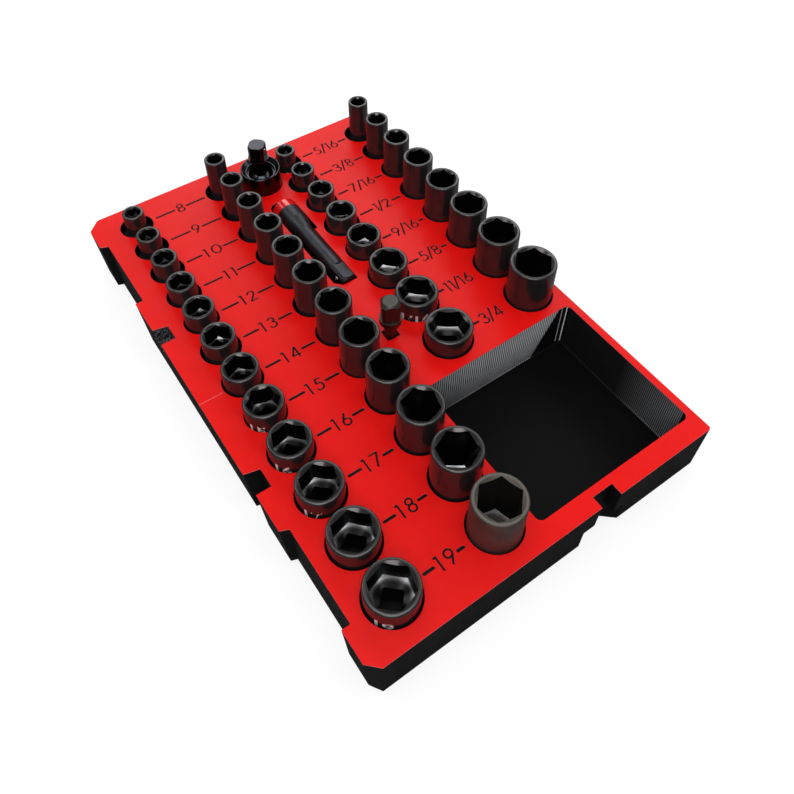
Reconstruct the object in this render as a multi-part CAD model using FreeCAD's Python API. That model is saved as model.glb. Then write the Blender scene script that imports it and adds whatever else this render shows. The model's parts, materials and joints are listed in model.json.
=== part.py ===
import FreeCAD, Part
import math
import os

# Organizer tray for a set of socket wrenches, in millimetres.
# Frame: x to the right, y to the rear, z up. The origin is the centre of the tray's underside.
# Places are worked out from the tray's left edge, its front edge and its top face, the deck.

Vector = FreeCAD.Vector
UP = Vector(0, 0, 1)

# Socket sizes across the flats, by the name of each size
METRIC_SIZES = {
    "08": 8.0, "09": 9.0, "10": 10.0, "11": 11.0, "12": 12.0, "13": 13.0,
    "14": 14.0, "15": 15.0, "16": 16.0, "17": 17.0, "18": 18.0, "19": 19.0,
}
INCH_SIZES = {
    "5_16": 7.94, "3_8": 9.53, "7_16": 11.11, "1_2": 12.7,
    "9_16": 14.29, "5_8": 15.88, "11_16": 17.46, "3_4": 19.05,
}
SMALL_SIZE_LIMIT = 12.4
MEDIUM_SIZE_LIMIT = 15.4

# Socket walls, lengths and bores
CORNER_WALL = 1.45
NOSE_GROWTH_SHARE = 1.2
SMALL_DRIVE_END = 18.4
MEDIUM_DRIVE_END = 20.8
SHALLOW_LENGTH = 30.0
DEEP_LENGTH = 57.0
SHALLOW_STANDOUT = 11.3
DEEP_STANDOUT = 25.6
SHALLOW_DRIVE_LENGTH = 13.0
DEEP_DRIVE_LENGTH = 20.0
SHOULDER_LENGTH = 3.0
SHALLOW_HEX_DEPTH = 9.0
DEEP_HEX_DEPTH = 32.0
HEX_FLOOR_CONE = 1.8
RIM_CHAMFER = 0.7
FOOT_CHAMFER = 0.6
LEAD_IN_DEPTH = 1.1
LEAD_IN_MARGIN = 0.2
DRIVE_SQUARE = 9.5
DRIVE_CLEARANCE = 0.1
DRIVE_CORNER_RADIUS = 6.2
DRIVE_DEPTH = 11.0
MIDDLE_BORE_SHARE = 0.45

# Turn of each socket about its own axis, in degrees
METRIC_SHALLOW_TURNS = (25, 57, 47, 50, 40, 44, 50, 13, 41, 48, 43, 47)
METRIC_DEEP_TURNS = (25, 40, 50, 50, 30, 55, 18, 35, 43, 45, 54, 17)
INCH_SHALLOW_TURNS = (25, 0, 35, 0, 24, 46, 47, 54)
INCH_DEEP_TURNS = (0, 0, 0, 15, 17, 22, 28, 17)

# Pockets and the tray's walls
POCKET_PLAY = 1.3
LARGE_POCKET_PLAY = 2.1
POCKET_WEB = 2.3
SEAT_GAP = 0.2
FLOOR_THICKNESS = 2.4
SKIN_THICKNESS = 0.5
METRIC_BACK_RIM = 8.15
INCH_BACK_RIM = 8.95
FRONT_RIM = 7.65
LEFT_COLUMN_INSET = 25.0
LABEL_PITCH = 56.0
TOOL_LANE_PITCH = 46.5
RIGHT_COLUMN_INSET = 16.5
CUT_OVERRUN = 3.0

# Tray outline: corners and drafted walls
FRONT_LEFT_CHAMFER = 5.8
BACK_LEFT_CHAMFER = 7.0
BACK_LEFT_ROUNDING = 3.5
RIGHT_CORNER_CHAMFER = 1.0
LEFT_DRAFT = 2.0
FRONT_DRAFT = 0.5

# Recesses in the left wall: start from the rear, length along the wall, depth at the deck
REAR_RECESS_START = 22.4
REAR_RECESS_LENGTH = 52.6
REAR_RECESS_DEPTH = 4.4
KEY_SLOT_START = 97.4
KEY_SLOT_LENGTH = 11.9
KEY_SLOT_DEPTH = 8.0
KEY_SLOT_FLOOR = 10.0
THROUGH_SLOT_START = 201.7
THROUGH_SLOT_LENGTH = 12.8
FRONT_RECESS_START = 235.7
FRONT_RECESS_LENGTH = 52.3
FRONT_RECESS_DEPTH = 4.35
RECESS_DRAFT = 0.9
RECESS_SLANT = 1.9

# Slot in the front wall, wider below
FRONT_SLOT_LEFT = 126.6
FRONT_SLOT_WIDTH = 12.3
FRONT_SLOT_DEPTH = 6.4
FRONT_SLOT_FLARE = 7.2
FRONT_SLOT_FLARE_LEVEL = 19.0

# Bin
BIN_LEFT_WEB = 3.35
BIN_REAR_WEB = 5.0
BIN_FRONT_WEB = 4.3
BIN_RIGHT_RIM = 4.0
BIN_CORNER_RADIUS = 3.5
BIN_FLOOR_THICKNESS = 1.6
BIN_FOOT_CHAMFER = 0.8

# Labels cut through the skin
CAP_HEIGHT = 7.0
STROKE_WIDTH = 1.05
DASH_WIDTH = 1.65
METRIC_LETTER_GAP = 3.7
INCH_LETTER_GAP = 2.2
METRIC_LABEL_SHIFT = 0.4
INCH_LABEL_SHIFT = 1.4
DASH_START_GAP = 2.0
DASH_END_GAP = 1.1
DASH_END_GROWTH_SHARE = 0.5
DASH_TEXT_GAP = 1.6

# Universal joint
TOOL_LANE_SHIFT = 1.25
JOINT_FROM_BACK = 27.0
JOINT_TURN = -43.0
JOINT_DIAMETER = 24.5
JOINT_PLAY = 0.7
JOINT_LENGTH = 38.0
JOINT_STANDOUT = 13.0
JOINT_RIM_WIDTH = 0.65
JOINT_BEVEL_DEPTH = 2.4
JOINT_MOUTH_MARGIN = 0.35
BALL_RADIUS = 8.6
BALL_CLEARANCE = 0.35
BALL_BELOW_RIM = 11.4
CROSS_PIN_RADIUS = 2.45
CROSS_PIN_REACH = 1.9
CROSS_PIN_CLEARANCE = 0.05
PIN_SLOT_CLEARANCE = 0.15
PIN_SLOT_RISE = 3.3
PIN_SLOT_MARGIN = 0.4
SNAP_RING_LEVEL = 6.0
SNAP_RING_THICKNESS = 1.0
SNAP_RING_INSET = 1.25
SNAP_RING_BITE = 0.55
SNAP_RING_PLAY = 0.1
SNAP_RING_GAP = 3.0
NECK_RADIUS = 3.9
NECK_LENGTH = 16.6
TANG_COLLAR_RADIUS = 6.3
TANG_COLLAR_LENGTH = 3.5
TANG_COLLAR_EDGE = 0.8
TANG_LENGTH = 9.6
TANG_TIP_CHAMFER = 0.6
TANG_DETENT_FROM_TIP = 4.2
SQUARE_EDGE_CHAMFER = 1.5
TIP_CHAMFER = 1.7

# Spring-loaded ball in each male square
DETENT_BALL_RADIUS = 1.6
DETENT_STANDOUT = 0.6
DETENT_FROM_TIP = 6.2
DETENT_BORE_CLEARANCE = 0.06
DETENT_TRAVEL = 0.5
DETENT_END_CLEARANCE = 0.2
DETENT_SPRING_LENGTH = 2.6
DETENT_SPRING_WIRE = 0.4
DETENT_SPRING_CLEARANCE = 0.05

# Extension bar, lying along the tray
EXTENSION_LENGTH = 75.0
EXTENSION_WEB = 8.1
EXTENSION_END_PLAY = 4.9
EXTENSION_FRONT_PLAY = 0.7
EXTENSION_SIDE_SHIFT = 0.4
EXTENSION_AXIS_DEPTH = 2.0
HEAD_DIAMETER = 15.2
HEAD_LENGTH = 16.5
HEAD_CONE_LENGTH = 9.5
SHAFT_DIAMETER = 11.0
EXTENSION_SQUARE_LENGTH = 12.5
EXTENSION_ROLL = 12.0
EXTENSION_RING_LENGTH = 6.3
EXTENSION_RING_WALL = 0.8
EXTENSION_RIM_CHAMFER = 0.7
TROUGH_STEP_PLAY = 2.1
TROUGH_SIDE_PLAY = 0.3
TROUGH_CORNER_RADIUS = 5.0
TROUGH_NOSE_CHAMFER = 3.9

# Adapter from a hexagon shank to a square
ADAPTER_FROM_TROUGH = 43.6
ADAPTER_SIDE_SHIFT = 1.3
ADAPTER_TURN = -25.0
ADAPTER_STANDOUT = 27.0
ADAPTER_SQUARE_LENGTH = 13.0
ADAPTER_COLLAR_RADIUS = 6.0
ADAPTER_COLLAR_LENGTH = 4.6
ADAPTER_COLLAR_CHAMFER = 1.2
ADAPTER_SHANK_FLATS = 6.35
ADAPTER_LENGTH = 50.0
ADAPTER_GROOVE_RADIUS = 2.7
ADAPTER_GROOVE_LENGTH = 3.4
ADAPTER_GROOVE_FROM_END = 9.0
ADAPTER_POCKET_PLAY = 1.35
ADAPTER_SHANK_CHAMFER = 0.8

# Glyph strokes in shares of the cap height: x to the right of the glyph's left side, y above its foot.
# A line has its points in turn; an arc has centre, radius, start angle and sweep; a ring has two radii.
GLYPH_STROKE_SHARES = {
    "0": [("ring", (0.36, 0.50), (0.36, 0.50))],
    "1": [("line", (0.0, 0.96), (0.15, 1.0), (0.15, 0.0))],
    "2": [("arc", (0.25, 0.75), 0.25, -38, 208), ("line", (0.447, 0.596), (0.0, 0.0), (0.54, 0.0))],
    "3": [("arc", (0.25, 0.77), 0.23, -90, 245), ("arc", (0.25, 0.27), 0.27, -155, 245)],
    "4": [("line", (0.46, 0.0), (0.46, 1.0), (0.0, 0.22), (0.60, 0.22))],
    "5": [("line", (0.50, 1.0), (0.16, 1.0), (0.085, 0.60)), ("arc", (0.21, 0.31), 0.31, -140, 254)],
    "6": [("ring", (0.28, 0.28), (0.28, 0.28)), ("line", (0.045, 0.43), (0.38, 1.0))],
    "7": [("line", (0.0, 1.0), (0.54, 1.0), (0.10, 0.0))],
    "8": [("ring", (0.27, 0.77), (0.23, 0.23)), ("ring", (0.27, 0.27), (0.27, 0.27))],
    "9": [("ring", (0.28, 0.72), (0.28, 0.28)), ("line", (0.515, 0.57), (0.18, 0.0))],
    "/": [("line", (0.0, -0.15), (0.50, 1.15))],
}
GLYPH_WIDTH_SHARES = {
    "0": 0.72, "1": 0.15, "2": 0.54, "3": 0.52, "4": 0.60, "5": 0.52,
    "6": 0.56, "7": 0.54, "8": 0.54, "9": 0.56, "/": 0.50,
}
# How far a glyph moves towards the one before it
GLYPH_TUCK_SHARES = {"/": 0.18}


# Sizes worked out from the ones above

def nose_diameter(size):
    return 2 * CORNER_WALL + NOSE_GROWTH_SHARE * size


def drive_end_diameter(size):
    if size <= SMALL_SIZE_LIMIT:
        return max(SMALL_DRIVE_END, nose_diameter(size))
    if size <= MEDIUM_SIZE_LIMIT:
        return max(MEDIUM_DRIVE_END, nose_diameter(size))
    return nose_diameter(size)


def pocket_diameter(size):
    play = POCKET_PLAY if size <= MEDIUM_SIZE_LIMIT else LARGE_POCKET_PLAY
    return drive_end_diameter(size) + play


def column_length(sizes):
    return sum(pocket_diameter(size) for size in sizes.values()) + (len(sizes) - 1) * POCKET_WEB


TRAY_LENGTH = METRIC_BACK_RIM + column_length(METRIC_SIZES) + FRONT_RIM
TRAY_WIDTH = LEFT_COLUMN_INSET + LABEL_PITCH + TOOL_LANE_PITCH + LABEL_PITCH + RIGHT_COLUMN_INSET
DECK = FLOOR_THICKNESS + SEAT_GAP + DEEP_LENGTH - DEEP_STANDOUT
BODY_TOP = DECK - SKIN_THICKNESS

METRIC_SHALLOW_X = LEFT_COLUMN_INSET
METRIC_DEEP_X = METRIC_SHALLOW_X + LABEL_PITCH
INCH_SHALLOW_X = METRIC_DEEP_X + TOOL_LANE_PITCH
INCH_DEEP_X = INCH_SHALLOW_X + LABEL_PITCH
TOOL_X = (METRIC_DEEP_X + INCH_SHALLOW_X) / 2 + TOOL_LANE_SHIFT

SOCKET_LENGTHS = {"shallow": SHALLOW_LENGTH, "deep": DEEP_LENGTH}
STANDOUTS = {"shallow": SHALLOW_STANDOUT, "deep": DEEP_STANDOUT}
DRIVE_LENGTHS = {"shallow": SHALLOW_DRIVE_LENGTH, "deep": DEEP_DRIVE_LENGTH}
HEX_DEPTHS = {"shallow": SHALLOW_HEX_DEPTH, "deep": DEEP_HEX_DEPTH}

JOINT_Y = TRAY_LENGTH - JOINT_FROM_BACK
JOINT_POCKET_RADIUS = (JOINT_DIAMETER + JOINT_PLAY) / 2
JOINT_RIM_LEVEL = DECK + JOINT_STANDOUT
JOINT_FOOT = JOINT_RIM_LEVEL - JOINT_LENGTH
BALL_LEVEL = JOINT_RIM_LEVEL - BALL_BELOW_RIM
CUP_RADIUS = BALL_RADIUS + BALL_CLEARANCE

TROUGH_REAR = JOINT_Y - JOINT_POCKET_RADIUS - EXTENSION_WEB
EXTENSION_X = TOOL_X + EXTENSION_SIDE_SHIFT
EXTENSION_REAR = TROUGH_REAR - EXTENSION_END_PLAY
EXTENSION_FRONT = EXTENSION_REAR - EXTENSION_LENGTH
EXTENSION_LEVEL = DECK - EXTENSION_AXIS_DEPTH
TROUGH_STEP = EXTENSION_REAR - HEAD_LENGTH - HEAD_CONE_LENGTH - TROUGH_STEP_PLAY
TROUGH_FRONT = EXTENSION_FRONT - EXTENSION_FRONT_PLAY

ADAPTER_Y = TROUGH_FRONT - ADAPTER_FROM_TROUGH
ADAPTER_X = TOOL_X - ADAPTER_SIDE_SHIFT
ADAPTER_TOP = DECK + ADAPTER_STANDOUT
ADAPTER_FOOT = ADAPTER_TOP - ADAPTER_LENGTH
ADAPTER_POCKET_SIDE = ADAPTER_SHANK_FLATS + ADAPTER_POCKET_PLAY


def across(from_left):
    """Frame x of a place measured from the tray's left edge."""
    return from_left - TRAY_WIDTH / 2


def along(from_front):
    """Frame y of a place measured from the tray's front edge."""
    return from_front - TRAY_LENGTH / 2


def column(sizes, back_rim):
    """Name, size and distance from the front edge of each pocket in a column, rear first."""
    places = []
    edge = TRAY_LENGTH - back_rim
    for name, size in sizes.items():
        radius = pocket_diameter(size) / 2
        places.append((name, size, edge - radius))
        edge = edge - 2 * radius - POCKET_WEB
    return places


METRIC_ROWS = column(METRIC_SIZES, METRIC_BACK_RIM)
INCH_ROWS = column(INCH_SIZES, INCH_BACK_RIM)
# Each column of sockets: name, rows, distance from the left edge, kind, turns
COLUMNS = [
    ("metric_shallow", METRIC_ROWS, METRIC_SHALLOW_X, "shallow", METRIC_SHALLOW_TURNS),
    ("metric_deep", METRIC_ROWS, METRIC_DEEP_X, "deep", METRIC_DEEP_TURNS),
    ("inch_shallow", INCH_ROWS, INCH_SHALLOW_X, "shallow", INCH_SHALLOW_TURNS),
    ("inch_deep", INCH_ROWS, INCH_DEEP_X, "deep", INCH_DEEP_TURNS),
]


# Small shapes shared by the pieces

def prism(points, bottom, top):
    """Upright prism over a closed outline of (x, y) points."""
    corners = [Vector(x, y, bottom) for x, y in points]
    face = Part.Face(Part.makePolygon(corners + corners[:1]))
    return face.extrude(Vector(0, 0, top - bottom))


def drafted_prism(low_points, high_points, bottom, top):
    """Solid between two outlines with as many corners, at two levels."""
    wires = []
    for points, level in ((low_points, bottom), (high_points, top)):
        corners = [Vector(x, y, level) for x, y in points]
        wires.append(Part.makePolygon(corners + corners[:1]))
    return Part.makeLoft(wires, True, True)


def turned(profile, x=0, y=0, z=0):
    """Solid of revolution about an upright axis, from (radius, height) points."""
    corners = [Vector(radius, 0, height) for radius, height in profile]
    face = Part.Face(Part.makePolygon(corners + corners[:1]))
    solid = face.revolve(Vector(0, 0, 0), UP, 360)
    solid.translate(Vector(x, y, z))
    return solid


def many_sided(sides, flats, bottom, top):
    """Upright prism with a regular outline, given by its width across the flats."""
    radius = flats / 2 / math.cos(math.pi / sides)
    angles = [2 * math.pi * (index + 1 / 2) / sides for index in range(sides)]
    return prism([(radius * math.cos(angle), radius * math.sin(angle)) for angle in angles], bottom, top)


def drive_hole(bottom, top):
    """Female square with its corners rounded off."""
    square = many_sided(4, DRIVE_SQUARE + DRIVE_CLEARANCE, bottom, top)
    return square.common(Part.makeCylinder(DRIVE_CORNER_RADIUS, top - bottom, Vector(0, 0, bottom)))


def tool_square(bottom, top, tip_chamfer):
    """Male square with its upright edges and its tip chamfered."""
    half = DRIVE_SQUARE / 2
    cut = half - SQUARE_EDGE_CHAMFER
    outline = [(half, -cut), (half, cut), (cut, half), (-cut, half),
               (-half, cut), (-half, -cut), (-cut, -half), (cut, -half)]
    tip_radius = math.hypot(half, cut)
    tip = turned([(0, bottom), (tip_radius, bottom), (tip_radius, top - tip_chamfer),
                  (tip_radius - tip_chamfer, top), (0, top)])
    return prism(outline, bottom, top).common(tip)


def spun(shape, degrees):
    copy = shape.copy()
    copy.rotate(Vector(0, 0, 0), UP, degrees)
    return copy


def moved(shape, x, y, z=0):
    copy = shape.copy()
    copy.translate(Vector(x, y, z))
    return copy


def plain(shape):
    """The single solid of a shape that may be wrapped in a compound."""
    return shape.Solids[0] if len(shape.Solids) == 1 else shape


# Sockets

def middle_bore_radius(size):
    return MIDDLE_BORE_SHARE * min(size, DRIVE_SQUARE)


def socket_blank(size, kind):
    nose = nose_diameter(size) / 2
    foot = drive_end_diameter(size) / 2
    length = SOCKET_LENGTHS[kind]
    shoulder = DRIVE_LENGTHS[kind]
    return turned([
        (0, 0), (foot - FOOT_CHAMFER, 0), (foot, FOOT_CHAMFER), (foot, shoulder),
        (nose, shoulder + SHOULDER_LENGTH), (nose, length - RIM_CHAMFER), (nose - RIM_CHAMFER, length),
        (0, length),
    ])


def socket_bore(size, kind):
    """Hexagon with a conical lead-in, its conical floor, the middle bore and the drive square."""
    length = SOCKET_LENGTHS[kind]
    floor = length - HEX_DEPTHS[kind]
    cone_foot = floor - HEX_FLOOR_CONE
    bore = middle_bore_radius(size)
    corner = size / 2 / math.cos(math.pi / 6)
    lead_in = corner + LEAD_IN_MARGIN
    square_top = floor if size > SMALL_SIZE_LIMIT else DRIVE_DEPTH
    tools = [
        many_sided(6, size, floor, length + CUT_OVERRUN),
        turned([(0, length - LEAD_IN_DEPTH), (size / 2, length - LEAD_IN_DEPTH),
                (lead_in, length), (0, length)]),
        turned([(0, cone_foot), (bore, cone_foot), (size / 2, floor), (0, floor)]),
        Part.makeCylinder(bore, cone_foot - DRIVE_DEPTH / 2, Vector(0, 0, DRIVE_DEPTH / 2)),
        drive_hole(-CUT_OVERRUN, square_top),
    ]
    return tools


def socket(size, kind, turn, from_left, from_front):
    solid = socket_blank(size, kind).cut(socket_bore(size, kind))
    foot = DECK + STANDOUTS[kind] - SOCKET_LENGTHS[kind]
    return plain(moved(spun(solid, turn), across(from_left), along(from_front), foot))


def all_sockets():
    nodes = {}
    for column_name, rows, from_left, kind, turns in COLUMNS:
        for (size_name, size, from_front), turn in zip(rows, turns):
            nodes[column_name + "_" + size_name] = socket(size, kind, turn, from_left, from_front)
    return nodes


# Cuts shared by the tray's body and its skin

def socket_pockets():
    cuts = []
    for _, rows, from_left, kind, _ in COLUMNS:
        floor = DECK + STANDOUTS[kind] - SOCKET_LENGTHS[kind] - SEAT_GAP
        for _, size, from_front in rows:
            centre = Vector(across(from_left), along(from_front), floor)
            cuts.append(Part.makeCylinder(pocket_diameter(size) / 2, DECK + CUT_OVERRUN - floor, centre))
    return cuts


def joint_pocket():
    floor = JOINT_FOOT - SEAT_GAP
    centre = Vector(across(TOOL_X), along(JOINT_Y), floor)
    return Part.makeCylinder(JOINT_POCKET_RADIUS, DECK + CUT_OVERRUN - floor, centre)


def adapter_pocket():
    cut = many_sided(4, ADAPTER_POCKET_SIDE, ADAPTER_FOOT - SEAT_GAP, DECK + CUT_OVERRUN)
    return moved(cut, across(ADAPTER_X), along(ADAPTER_Y))


def rounded_box(left, front, right, rear, bottom, top, radius):
    box = Part.makeBox(right - left, rear - front, top - bottom, Vector(left, front, bottom))
    upright = [edge for edge in box.Edges if abs(edge.tangentAt(edge.FirstParameter).z) > 1 / 2]
    return box.makeFillet(radius, upright)


def extension_trough():
    """Lying pocket in two widths, a floor under the head and a higher one under the shaft."""
    top = DECK + CUT_OVERRUN
    head_floor = EXTENSION_LEVEL - HEAD_DIAMETER / 2 - SEAT_GAP
    shaft_floor = EXTENSION_LEVEL - SHAFT_DIAMETER / 2 - SEAT_GAP
    left = across(EXTENSION_X - HEAD_DIAMETER / 2 - TROUGH_SIDE_PLAY)
    head_right = across(EXTENSION_X + HEAD_DIAMETER / 2 + TROUGH_SIDE_PLAY)
    shaft_right = across(EXTENSION_X + SHAFT_DIAMETER / 2 + TROUGH_SIDE_PLAY)
    step = along(TROUGH_STEP)
    front = along(TROUGH_FRONT)
    head = rounded_box(left, step, head_right, along(TROUGH_REAR), head_floor, top, TROUGH_CORNER_RADIUS)
    square_end = Part.makeBox(head_right - left, TROUGH_CORNER_RADIUS, top - head_floor,
                              Vector(left, step, head_floor))
    shaft = prism([(left + TROUGH_NOSE_CHAMFER, front), (shaft_right, front),
                   (shaft_right, step + TROUGH_CORNER_RADIUS), (left, step + TROUGH_CORNER_RADIUS),
                   (left, front + TROUGH_NOSE_CHAMFER)], shaft_floor, top)
    return [head, square_end, shaft]


def bin_edges():
    """Left, front, right and rear of the bin, from the tray's left and front edges."""
    largest_metric = max(pocket_diameter(size) for size in METRIC_SIZES.values())
    _, last_size, last_place = INCH_ROWS[-1]
    left = METRIC_DEEP_X + largest_metric / 2 + BIN_LEFT_WEB
    rear = last_place - pocket_diameter(last_size) / 2 - BIN_REAR_WEB
    return left, FRONT_SLOT_DEPTH + BIN_FRONT_WEB, TRAY_WIDTH - BIN_RIGHT_RIM, rear


def bin_cut():
    left, front, right, rear = bin_edges()
    cut = rounded_box(across(left), along(front), across(right), along(rear),
                      BIN_FLOOR_THICKNESS, DECK + CUT_OVERRUN, BIN_CORNER_RADIUS)
    foot = [edge for edge in cut.Edges if edge.CenterOfMass.z < BIN_FLOOR_THICKNESS + BIN_FOOT_CHAMFER / 2]
    return cut.makeChamfer(BIN_FOOT_CHAMFER, foot)


def side_recess(start_from_rear, length, depth, floor):
    """Recess in the left wall, open to the top, a little deeper at its foot."""
    far = along(TRAY_LENGTH - start_from_rear)
    near = along(TRAY_LENGTH - start_from_rear - length)
    outside = across(-CUT_OVERRUN)

    def outline(reach):
        edge = across(reach)
        return [(outside, near), (edge, near), (edge, far - RECESS_SLANT), (across(0), far), (outside, far)]

    return drafted_prism(outline(depth + RECESS_DRAFT), outline(depth), floor, DECK + CUT_OVERRUN)


def left_wall_recesses():
    through = -CUT_OVERRUN
    key_floor = DECK - KEY_SLOT_FLOOR
    return [
        side_recess(REAR_RECESS_START, REAR_RECESS_LENGTH, REAR_RECESS_DEPTH, through),
        side_recess(KEY_SLOT_START, KEY_SLOT_LENGTH, KEY_SLOT_DEPTH, key_floor),
        side_recess(THROUGH_SLOT_START, THROUGH_SLOT_LENGTH, KEY_SLOT_DEPTH, through),
        side_recess(FRONT_RECESS_START, FRONT_RECESS_LENGTH, FRONT_RECESS_DEPTH, through),
    ]


def front_slot():
    """Slot through the front wall, flared on both sides below."""
    left = across(FRONT_SLOT_LEFT)
    right = left + FRONT_SLOT_WIDTH
    front = along(0)
    inner = front + FRONT_SLOT_DEPTH
    outside = front - CUT_OVERRUN
    upper = prism([(left, outside), (right, outside), (right, inner), (left, inner)],
                  -CUT_OVERRUN, DECK + CUT_OVERRUN)
    wide_left = left - FRONT_SLOT_FLARE
    wide_right = right + FRONT_SLOT_FLARE
    lower = prism([(wide_left, outside), (wide_right, outside), (wide_right, front),
                   (right, inner), (left, inner), (wide_left, front)],
                  -CUT_OVERRUN, DECK - FRONT_SLOT_FLARE_LEVEL)
    return [upper, lower]


def tray_cuts():
    cuts = socket_pockets() + extension_trough() + left_wall_recesses() + front_slot()
    return cuts + [joint_pocket(), adapter_pocket(), bin_cut()]


# Tray

def rounded_wire(points, level):
    """Closed outline at one level over (x, y, corner radius) points."""
    corners = [(Vector(x, y, level), radius) for x, y, radius in points]
    runs = []
    for index, (corner, radius) in enumerate(corners):
        before = (corners[index - 1][0] - corner).normalize()
        after = (corners[(index + 1) % len(corners)][0] - corner).normalize()
        half_angle = before.getAngle(after) / 2
        inward = (before + after).normalize()
        reach = radius / math.tan(half_angle)
        middle = corner + inward * (radius / math.sin(half_angle) - radius)
        runs.append((corner + before * reach, middle, corner + after * reach, radius))
    edges = []
    for index, (start, middle, finish, radius) in enumerate(runs):
        if radius:
            edges.append(Part.Arc(start, middle, finish).toShape())
        next_start = runs[(index + 1) % len(runs)][0]
        edges.append(Part.LineSegment(finish, next_start).toShape())
    return Part.Wire(edges)


def tray_outline(left_inset, front_inset, level):
    left = across(left_inset)
    right = across(TRAY_WIDTH)
    front = along(front_inset)
    rear = along(TRAY_LENGTH)
    corner = RIGHT_CORNER_CHAMFER
    return rounded_wire([
        (across(FRONT_LEFT_CHAMFER), front, 0), (right - corner, front, 0), (right, front + corner, 0),
        (right, rear - corner, 0), (right - corner, rear, 0),
        (across(BACK_LEFT_CHAMFER), rear, BACK_LEFT_ROUNDING),
        (left, rear - BACK_LEFT_CHAMFER, BACK_LEFT_ROUNDING), (left, front + FRONT_LEFT_CHAMFER, 0),
    ], level)


def tray_body(cuts):
    foot = tray_outline(LEFT_DRAFT, FRONT_DRAFT, 0)
    block = Part.makeLoft([foot, tray_outline(0, 0, BODY_TOP)], True, True)
    return plain(block.cut(cuts))


def top_skin(cuts):
    sheet = Part.Face(tray_outline(0, 0, BODY_TOP)).extrude(Vector(0, 0, SKIN_THICKNESS))
    return sheet.cut(cuts + all_labels())


# Labels

def label_cut(face):
    """Prism over a flat face at the skin's underside, through the skin."""
    return face.extrude(Vector(0, 0, SKIN_THICKNESS + CUT_OVERRUN))


def stadium(start, end, width):
    """Slot with round ends between two (x, y) points."""
    first = Vector(start[0], start[1], BODY_TOP)
    last = Vector(end[0], end[1], BODY_TOP)
    run = (last - first).normalize()
    side = Vector(-run.y, run.x, 0) * (width / 2)
    tip = run * (width / 2)
    edges = [
        Part.LineSegment(first + side, last + side).toShape(),
        Part.Arc(last + side, last + tip, last - side).toShape(),
        Part.LineSegment(last - side, first - side).toShape(),
        Part.Arc(first - side, first - tip, first + side).toShape(),
    ]
    return label_cut(Part.Face(Part.Wire(edges)))


def ellipse_face(centre, radius_x, radius_y):
    """Upright or level ellipse, whichever radius is the longer."""
    middle = Vector(centre[0], centre[1], BODY_TOP)
    if radius_x == radius_y:
        return Part.Face(Part.Wire(Part.Circle(middle, UP, radius_x).toShape()))
    long_end = middle + Vector(0, radius_y, 0)
    short_end = middle + Vector(-radius_x, 0, 0)
    return Part.Face(Part.Wire(Part.Ellipse(long_end, short_end, middle).toShape()))


def ring_stroke(centre, radii):
    half = STROKE_WIDTH / 2
    outer = label_cut(ellipse_face(centre, radii[0] + half, radii[1] + half))
    inner = label_cut(ellipse_face(centre, radii[0] - half, radii[1] - half))
    return outer.cut(inner)


def arc_stroke(centre, radius, start, sweep):
    """Part of a ring with round ends, drawn anticlockwise from its start angle."""
    half = STROKE_WIDTH / 2

    def spot(reach, degrees):
        angle = math.radians(degrees)
        return Vector(centre[0] + reach * math.cos(angle), centre[1] + reach * math.sin(angle), BODY_TOP)

    def bulge(degrees, side):
        angle = math.radians(degrees)
        tangent = Vector(-math.sin(angle), math.cos(angle), 0) * (half * side)
        return spot(radius, degrees) + tangent

    finish = start + sweep
    middle = start + sweep / 2
    outer = radius + half
    inner = radius - half
    edges = [
        Part.Arc(spot(outer, start), spot(outer, middle), spot(outer, finish)).toShape(),
        Part.Arc(spot(outer, finish), bulge(finish, 1), spot(inner, finish)).toShape(),
        Part.Arc(spot(inner, finish), spot(inner, middle), spot(inner, start)).toShape(),
        Part.Arc(spot(inner, start), bulge(start, -1), spot(outer, start)).toShape(),
    ]
    return label_cut(Part.Face(Part.Wire(edges)))


def glyph_cuts(character, left, foot):
    cuts = []

    def place(share):
        return left + share[0] * CAP_HEIGHT, foot + share[1] * CAP_HEIGHT

    for stroke in GLYPH_STROKE_SHARES[character]:
        if stroke[0] == "line":
            points = [place(share) for share in stroke[1:]]
            cuts += [stadium(start, end, STROKE_WIDTH) for start, end in zip(points, points[1:])]
        elif stroke[0] == "ring":
            cuts.append(ring_stroke(place(stroke[1]), [share * CAP_HEIGHT for share in stroke[2]]))
        else:
            cuts.append(arc_stroke(place(stroke[1]), stroke[2] * CAP_HEIGHT, stroke[3], stroke[4]))
    return cuts


def text_steps(text, letter_gap):
    """Distance of each glyph's left side from the text's left side, and the text's whole width."""
    steps = []
    edge = 0
    for index, character in enumerate(text):
        if index:
            tucks = GLYPH_TUCK_SHARES.get(character, 0) + GLYPH_TUCK_SHARES.get(text[index - 1], 0)
            edge = edge + letter_gap - tucks * CAP_HEIGHT
        steps.append(edge)
        edge = edge + GLYPH_WIDTH_SHARES[character] * CAP_HEIGHT
    return steps, edge


def row_label(text, letter_gap, shift, left_x, right_x, pocket, from_front):
    """Text between the two pockets of a row, and a dash on each side of it."""
    middle_y = along(from_front)
    steps, width = text_steps(text, letter_gap)
    left = across((left_x + right_x) / 2 + shift) - width / 2
    cuts = []
    for character, step in zip(text, steps):
        cuts += glyph_cuts(character, left + step, middle_y - CAP_HEIGHT / 2)
    cap = DASH_WIDTH / 2
    smallest = pocket_diameter(METRIC_SIZES["08"])
    end_gap = DASH_END_GAP + DASH_END_GROWTH_SHARE * (pocket - smallest) / 2
    left_start = across(left_x) + pocket / 2 + DASH_START_GAP + cap
    left_end = left - DASH_TEXT_GAP - cap
    right_start = left + width + DASH_TEXT_GAP + cap
    right_end = across(right_x) - pocket / 2 - end_gap - cap
    for start, end in ((left_start, left_end), (right_start, right_end)):
        if end - start > cap:
            cuts.append(stadium((start, middle_y), (end, middle_y), DASH_WIDTH))
    return cuts


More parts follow.
